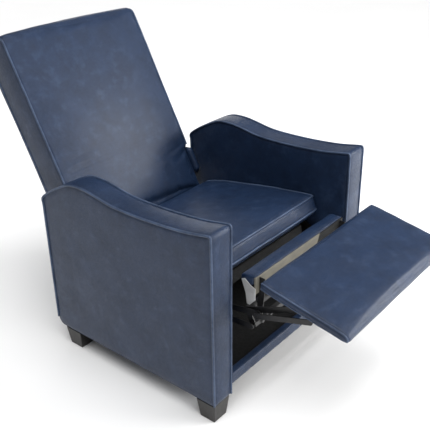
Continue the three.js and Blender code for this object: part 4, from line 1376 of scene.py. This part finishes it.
def make_dust_cover():
    """A thin black cloth under the chair, pulled tight and stapled along its edges."""
    low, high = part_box("dust_cover")
    count_x, count_y = 60, 58
    xs = np.linspace(low.x, high.x, count_x)
    ys = np.linspace(low.y, high.y, count_y)
    grid = []
    for level in (high.z - 0.2 * MM, high.z - 0.9 * MM):
        for x in xs:
            for y in ys:
                sag = math.sin(math.pi * (x - low.x) / (high.x - low.x))
                sag *= math.sin(math.pi * (y - low.y) / (high.y - low.y))
                grid.append((x, y, level - 3.5 * MM * sag))
    faces = []
    layer = count_x * count_y
    for i in range(count_x - 1):
        for j in range(count_y - 1):
            a = i * count_y + j
            faces.append((a, a + count_y, a + count_y + 1, a + 1))
            faces.append((layer + a, layer + a + 1, layer + a + count_y + 1, layer + a + count_y))
    border = [i * count_y for i in range(count_x)] + [(count_x - 1) * count_y + j for j in range(1, count_y)]
    border += [i * count_y + count_y - 1 for i in range(count_x - 2, -1, -1)]
    border += list(range(count_y - 2, 0, -1))
    for a, b in zip(border, border[1:] + border[:1]):
        faces.append((a, layer + a, layer + b, b))
    made = mesh_from("dust_cloth", grid, faces)
    outward_faces(made)
    smooth_shade(made)
    finish_piece(made, "base", dust_cloth(), ["dust_cover"])
    inset = 8 * MM
    z = high.z - 1.4 * MM
    rows = [
        np.array([(low.x + inset, low.y + inset, z), (high.x - inset, low.y + inset, z)]),
        np.array([(low.x + inset, high.y - inset, z), (high.x - inset, high.y - inset, z)]),
    ]
    material = plated()
    staples = grow(
        "dust_cloth_staples", rows, stitch_tree(), pitch=38 * MM, width=1.1 * MM, share=0.14, material=material,
    )
    finish_piece(staples, "base", material)


# ---- springs, timber, steel and feet ----
def make_springs():
    sizes = bpy.context.scene.recliner_sizes
    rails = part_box("seat_rail_front"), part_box("seat_rail_rear")
    waves = 9
    reach = 22 * MM
    level = -SEAT_THICKNESS - 6.3 * MM
    start, end = 58 * MM, 394 * MM
    if rails[0][0].y > rails[1][0].y:
        raise RuntimeError("the seat's front rail is behind its rear rail")
    for index in range(4):
        low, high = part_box(f"seat_spring_{index + 1}")
        middle = 0.5 * (low.x + high.x)
        points = [
            SEAT.place(middle + (reach if i % 2 else -reach), start + (end - start) * i / (2 * waves), level)[:]
            for i in range(2 * waves + 1)
        ]
        path = catmull(points, 8)
        made = grow(
            f"seat_spring_{index + 1}_wire", [path], cord_tree(),
            radius=sizes.spring_wire, sides=10, step=3 * MM, material=spring_steel(),
        )
        finish_piece(made, "seat", spring_steel(), [f"seat_spring_{index + 1}"])


def body_of_node(node):
    return frame["nodes"][node]["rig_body"]


def closed(made):
    work = bmesh.new()
    work.from_mesh(made.data)
    whole = all(len(e.link_faces) == 2 for e in work.edges)
    work.free()
    return whole


def rounded_node(node, width, material):
    """Replaces a CAD node by its own shape with eased edges, or keeps it where the easing doesn't close."""
    made = soft_copy(node, f"{node}_finished", width)
    if closed(made):
        finish_piece(made, body_of_node(node), material, [node])
        return made
    bpy.data.objects.remove(made)
    plain = frame["nodes"][node]
    plain.data.materials.clear()
    plain.data.materials.append(material)
    return plain


def make_feet():
    wood = wood_material("Foot wood", bpy.context.scene.recliner_finish.foot_wood, 2, 0.4)
    for _, word in SIDES:
        for end in ("front", "rear"):
            rounded_node(f"foot_{end}_{word}", 1.8 * MM, wood)


def make_timber():
    finish = bpy.context.scene.recliner_finish
    along_x = wood_material("Frame timber across", finish.timber, 0, 0.62)
    along_y = wood_material("Frame timber along", finish.timber, 1, 0.62)
    upright = wood_material("Frame timber upright", finish.timber, 2, 0.62)
    for node in ("front_rail", "rear_rail", "back_rail_lower", "back_rail_upper"):
        rounded_node(node, 1.5 * MM, along_x)
    for node in ("seat_rail_front", "seat_rail_rear"):
        # The seat's front and rear rails take the near-black cloth: painted shade under the seat.
        rounded_node(node, 1.5 * MM, dust_cloth())
    for _, word in SIDES:
        rounded_node(f"seat_rail_{word}", 1 * MM, along_y)
        rounded_node(f"arm_frame_{word}", 2 * MM, upright)
        rounded_node(f"back_stile_{word}", 1.5 * MM, upright)


STEEL_NODES = ("base_plate", "seat_hinge_plate", "back_hinge_plate", "rear_link", "lower_link", "upper_link",
               "drive_link", "control_link", "footrest_bracket", "flap_bracket")


def make_mechanism():
    """Link plates in black paint darkened as painted shade, with eased edges, cross bars, and the rivet and
    bolt heads on them.
    """
    for _, word in SIDES:
        for stem in STEEL_NODES:
            # Link plates take the near-black steel: black paint with painted shade.
            rounded_node(f"{stem}_{word}", 0.4 * MM, steel())
        rounded_node(f"flap_end_plate_{word}", 0.5 * MM, zinc())
    rounded_node("cross_tube_upper", 0.6 * MM, bar_steel())
    rounded_node("cross_bar_lower", 1.2 * MM, bar_steel())
    rivets()
    bolts()


def joint_origin(name):
    joint = next(j for j in frame["joints"] if j["name"] == name)
    return Vector(joint["pos_m"])


def rivets():
    """Rivet heads on the inner ends of the pins, one mesh for each body."""
    # Rivets take the near-black steel: black paint with painted shade.
    material = steel()
    heads = {"base": [], "upper_links": []}
    for side, word in SIDES:
        def head(body, joint, plate, away):
            low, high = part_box(f"{plate}_{word}")
            inner = min(abs(low.x), abs(high.x))
            origin = joint_origin(joint)
            heads[body].append((side * (inner - away), origin.y, origin.z))

        head("base", "footrest_fold", "lower_link", 1.0 * MM)
        head("base", f"rear_link_{word}_turn", "rear_link", 1.0 * MM)
        head("upper_links", "footrest_tilt", "footrest_bracket", 1.4 * MM)
    for body, points in heads.items():
        made = grow(
            f"rivets_{body}", [[point] for point in points], head_tree(), radius=7 * MM, crown_radius=4.2 * MM,
            height=2 * MM, facets=16, axis=(1, 0, 0), material=material,
        )
        finish_piece(made, body, material)


def bolts():
    """Hexagon bolt heads on the front of the lower cross bar."""
    low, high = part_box("cross_bar_lower")
    z = 0.5 * (low.z + high.z)
    xs = (low.x + 26 * MM, low.x + 62 * MM, high.x - 62 * MM, high.x - 26 * MM)
    points = [[(x, low.y - 1.8 * MM, z)] for x in xs]
    material = bar_steel()
    made = grow(
        "cross_bar_bolts", points, head_tree(), radius=6.5 * MM, crown_radius=5.6 * MM, height=4 * MM,
        facets=6, axis=(0, -1, 0), material=material,
    )
    finish_piece(made, "upper_links", material)


def make_boards():
    rounded_node("footrest_board", 1.5 * MM, backing_cloth())
    rounded_node("flap_board", 0.8 * MM, cloth_and_painted_shadow_board())


# ---- stage ----
def area_light(name, place, aim, size, power):
    data = bpy.data.lights.new(name, "AREA")
    data.shape = "SQUARE"
    data.size = size
    data.energy = power
    lamp = new_object(name, data)
    lamp.location = place
    lamp.rotation_euler = (Vector(aim) - Vector(place)).to_track_quat("-Z", "Y").to_euler()
    return lamp


def make_camera():
    """Looks down at the chair from the front left, at eye height."""
    azimuth, elevation, roll = math.radians(-51.457), math.radians(27.18), math.radians(-0.401)
    behind = Vector((
        math.sin(azimuth) * math.cos(elevation), -math.cos(azimuth) * math.cos(elevation), math.sin(elevation),
    ))
    right = (-behind).cross(Vector((0, 0, 1))).normalized()
    up = right.cross(-behind)
    right, up = math.cos(roll) * right + math.sin(roll) * up, math.cos(roll) * up - math.sin(roll) * right
    data = bpy.data.cameras.new("Camera")
    data.lens = 61.08
    data.sensor_width = 36
    data.shift_x = -0.0436
    data.shift_y = -0.0017
    data.clip_end = 60
    camera = new_object("Camera", data)
    turn = Matrix((right, up, behind)).transposed().to_4x4()
    camera.matrix_world = Matrix.Translation((-1.5320, -1.31965, 1.4453)) @ turn
    bpy.context.scene.camera = camera


def make_floor():
    """A large flat pale floor."""
    finish = bpy.context.scene.recliner_finish
    reach = 14.0
    corners = [(-reach, -reach, 0), (reach, -reach, 0), (reach, reach, 0), (-reach, reach, 0)]
    made = mesh_from("studio_floor", corners, [(0, 1, 2, 3)])
    material, tree, shader, place = new_material("Studio floor")
    soft = noise(tree, place, 1.5, 2.0)
    pale = [min(1.0, c + 0.02) for c in finish.floor]
    tree.links.new(mix_colour(tree, soft, finish.floor, pale), shader.inputs["Base Color"])
    tree.links.new(remap(tree, soft, 0.3, 0.7, 0.75, 0.85), shader.inputs["Roughness"])
    made.data.materials.append(material)


def make_world():
    world = bpy.data.worlds.new("Studio")
    world.use_nodes = True
    tree = world.node_tree
    sky = tree.nodes["Background"]
    sky.inputs["Color"].default_value = (1, 1, 1, 1)
    seen = tree.nodes.new("ShaderNodeLightPath").outputs["Is Camera Ray"]
    tree.links.new(remap(tree, seen, 0.0, 1.0, 0.18, 1.3), sky.inputs["Strength"])
    bpy.context.scene.world = world


def make_stage():
    make_floor()
    make_world()
    make_camera()
    area_light("Key softbox", (1.7, -2.7, 1.3), (0, 0, 0.5), 1.9, 84)
    area_light("Edge softbox", (1.95, -1.75, 1.6), (0, -0.4, 0.45), 0.7, 26)
    area_light("Rear softbox", (2.0, 2.1, 1.25), (-0.15, 0.1, 0.45), 1.2, 8)
    sun = bpy.data.lights.new("Ceiling light", "SUN")
    sun.energy = 2.9
    sun.angle = math.radians(55)
    new_object("Ceiling light", sun).rotation_euler = (math.radians(12), math.radians(-8), 0)
    scene = bpy.context.scene
    scene.view_settings.view_transform = "Standard"
    scene.view_settings.look = "None"


# ---- operators ----
class Make:
    """Shared behaviour of the chair's operators: runs build and reports that it is done."""

    bl_options = {"REGISTER"}

    def execute(self, context):
        type(self).build()
        return {"FINISHED"}


class CHAIR_OT_arms(Make, bpy.types.Operator):
    """Make both upholstered arms with their welts"""

    bl_idname = "chair.arms"
    bl_label = "Arms"
    build = staticmethod(make_arms)


class CHAIR_OT_seat(Make, bpy.types.Operator):
    """Make the padded seat with its welts and stitching"""

    bl_idname = "chair.seat"
    bl_label = "Seat"
    build = staticmethod(make_seat)


class CHAIR_OT_back(Make, bpy.types.Operator):
    """Make the padded back with its side seams"""

    bl_idname = "chair.back"
    bl_label = "Back"
    build = staticmethod(make_back)


class CHAIR_OT_back_panel(Make, bpy.types.Operator):
    """Make the leather panel behind the back"""

    bl_idname = "chair.back_panel"
    bl_label = "Back panel"
    build = staticmethod(make_back_panel)


class CHAIR_OT_ears(Make, bpy.types.Operator):
    """Make the rolled ears beside the back's hinges"""

    bl_idname = "chair.ears"
    bl_label = "Back ears"
    build = staticmethod(make_ears)


class CHAIR_OT_footrest(Make, bpy.types.Operator):
    """Make the footrest pad with its welts"""

    bl_idname = "chair.footrest"
    bl_label = "Footrest"
    build = staticmethod(make_footrest)


class CHAIR_OT_flap(Make, bpy.types.Operator):
    """Make the leather roll of the filler flap"""

    bl_idname = "chair.flap"
    bl_label = "Filler flap"
    build = staticmethod(make_flap)


class CHAIR_OT_front_rail(Make, bpy.types.Operator):
    """Make the leather over the front rail"""

    bl_idname = "chair.front_rail"
    bl_label = "Front rail"
    build = staticmethod(make_front_rail)


class CHAIR_OT_rear_panel(Make, bpy.types.Operator):
    """Make the low leather panel between the arms at the rear"""

    bl_idname = "chair.rear_panel"
    bl_label = "Rear panel"
    build = staticmethod(make_rear_panel)


class CHAIR_OT_dust_cover(Make, bpy.types.Operator):
    """Make the stapled cloth under the chair"""

    bl_idname = "chair.dust_cover"
    bl_label = "Dust cover"
    build = staticmethod(make_dust_cover)


class CHAIR_OT_springs(Make, bpy.types.Operator):
    """Make the zigzag springs under the seat"""

    bl_idname = "chair.springs"
    bl_label = "Seat springs"
    build = staticmethod(make_springs)


class CHAIR_OT_timber(Make, bpy.types.Operator):
    """Ease the edges of the timber frame and give it grain"""

    bl_idname = "chair.timber"
    bl_label = "Timber frame"
    build = staticmethod(make_timber)


class CHAIR_OT_mechanism(Make, bpy.types.Operator):
    """Finish the steel mechanism and set its rivets and bolts"""

    bl_idname = "chair.mechanism"
    bl_label = "Mechanism"
    build = staticmethod(make_mechanism)


class CHAIR_OT_boards(Make, bpy.types.Operator):
    """Cover the footrest's board with backing cloth, and the flap's board with backing cloth and a painted
    shadow
    """

    bl_idname = "chair.boards"
    bl_label = "Boards"
    build = staticmethod(make_boards)


class CHAIR_OT_feet(Make, bpy.types.Operator):
    """Make the four stained feet"""

    bl_idname = "chair.feet"
    bl_label = "Feet"
    build = staticmethod(make_feet)


class CHAIR_OT_stage(Make, bpy.types.Operator):
    """Set up the floor, lights and camera"""

    bl_idname = "chair.stage"
    bl_label = "Stage"
    build = staticmethod(make_stage)


PIECES = (
    CHAIR_OT_arms, CHAIR_OT_seat, CHAIR_OT_back, CHAIR_OT_back_panel, CHAIR_OT_ears, CHAIR_OT_footrest,
    CHAIR_OT_flap, CHAIR_OT_front_rail, CHAIR_OT_rear_panel, CHAIR_OT_dust_cover, CHAIR_OT_springs,
    CHAIR_OT_timber, CHAIR_OT_mechanism, CHAIR_OT_boards, CHAIR_OT_feet, CHAIR_OT_stage,
)


class CHAIR_PT_recliner(bpy.types.Panel):
    """Lists the pieces of the recliner in the order they are made"""

    bl_idname = "CHAIR_PT_recliner"
    bl_label = "Recliner armchair"
    bl_space_type = "VIEW_3D"
    bl_region_type = "UI"
    bl_category = "Recliner"

    def draw(self, context):
        for group in (context.scene.recliner_sizes, context.scene.recliner_finish):
            column = self.layout.column(align=True)
            for key in group.bl_rna.properties.keys():
                if key not in ("rna_type", "name"):
                    column.prop(group, key)
        for piece in PIECES:
            self.layout.operator(piece.bl_idname)


CLASSES = (UpholsterySizes, ReclinerFinish, *PIECES, CHAIR_PT_recliner)


def register():
    for item in CLASSES:
        bpy.utils.register_class(item)
    bpy.types.Scene.recliner_sizes = PointerProperty(type=UpholsterySizes)
    bpy.types.Scene.recliner_finish = PointerProperty(type=ReclinerFinish)


def unregister():
    del bpy.types.Scene.recliner_finish
    del bpy.types.Scene.recliner_sizes
    for item in reversed(CLASSES):
        bpy.utils.unregister_class(item)


def main():
    register()
    for piece in PIECES:
        area, name = piece.bl_idname.split(".")
        getattr(getattr(bpy.ops, area), name)()
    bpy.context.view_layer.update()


if __name__ == "__main__":
    main()
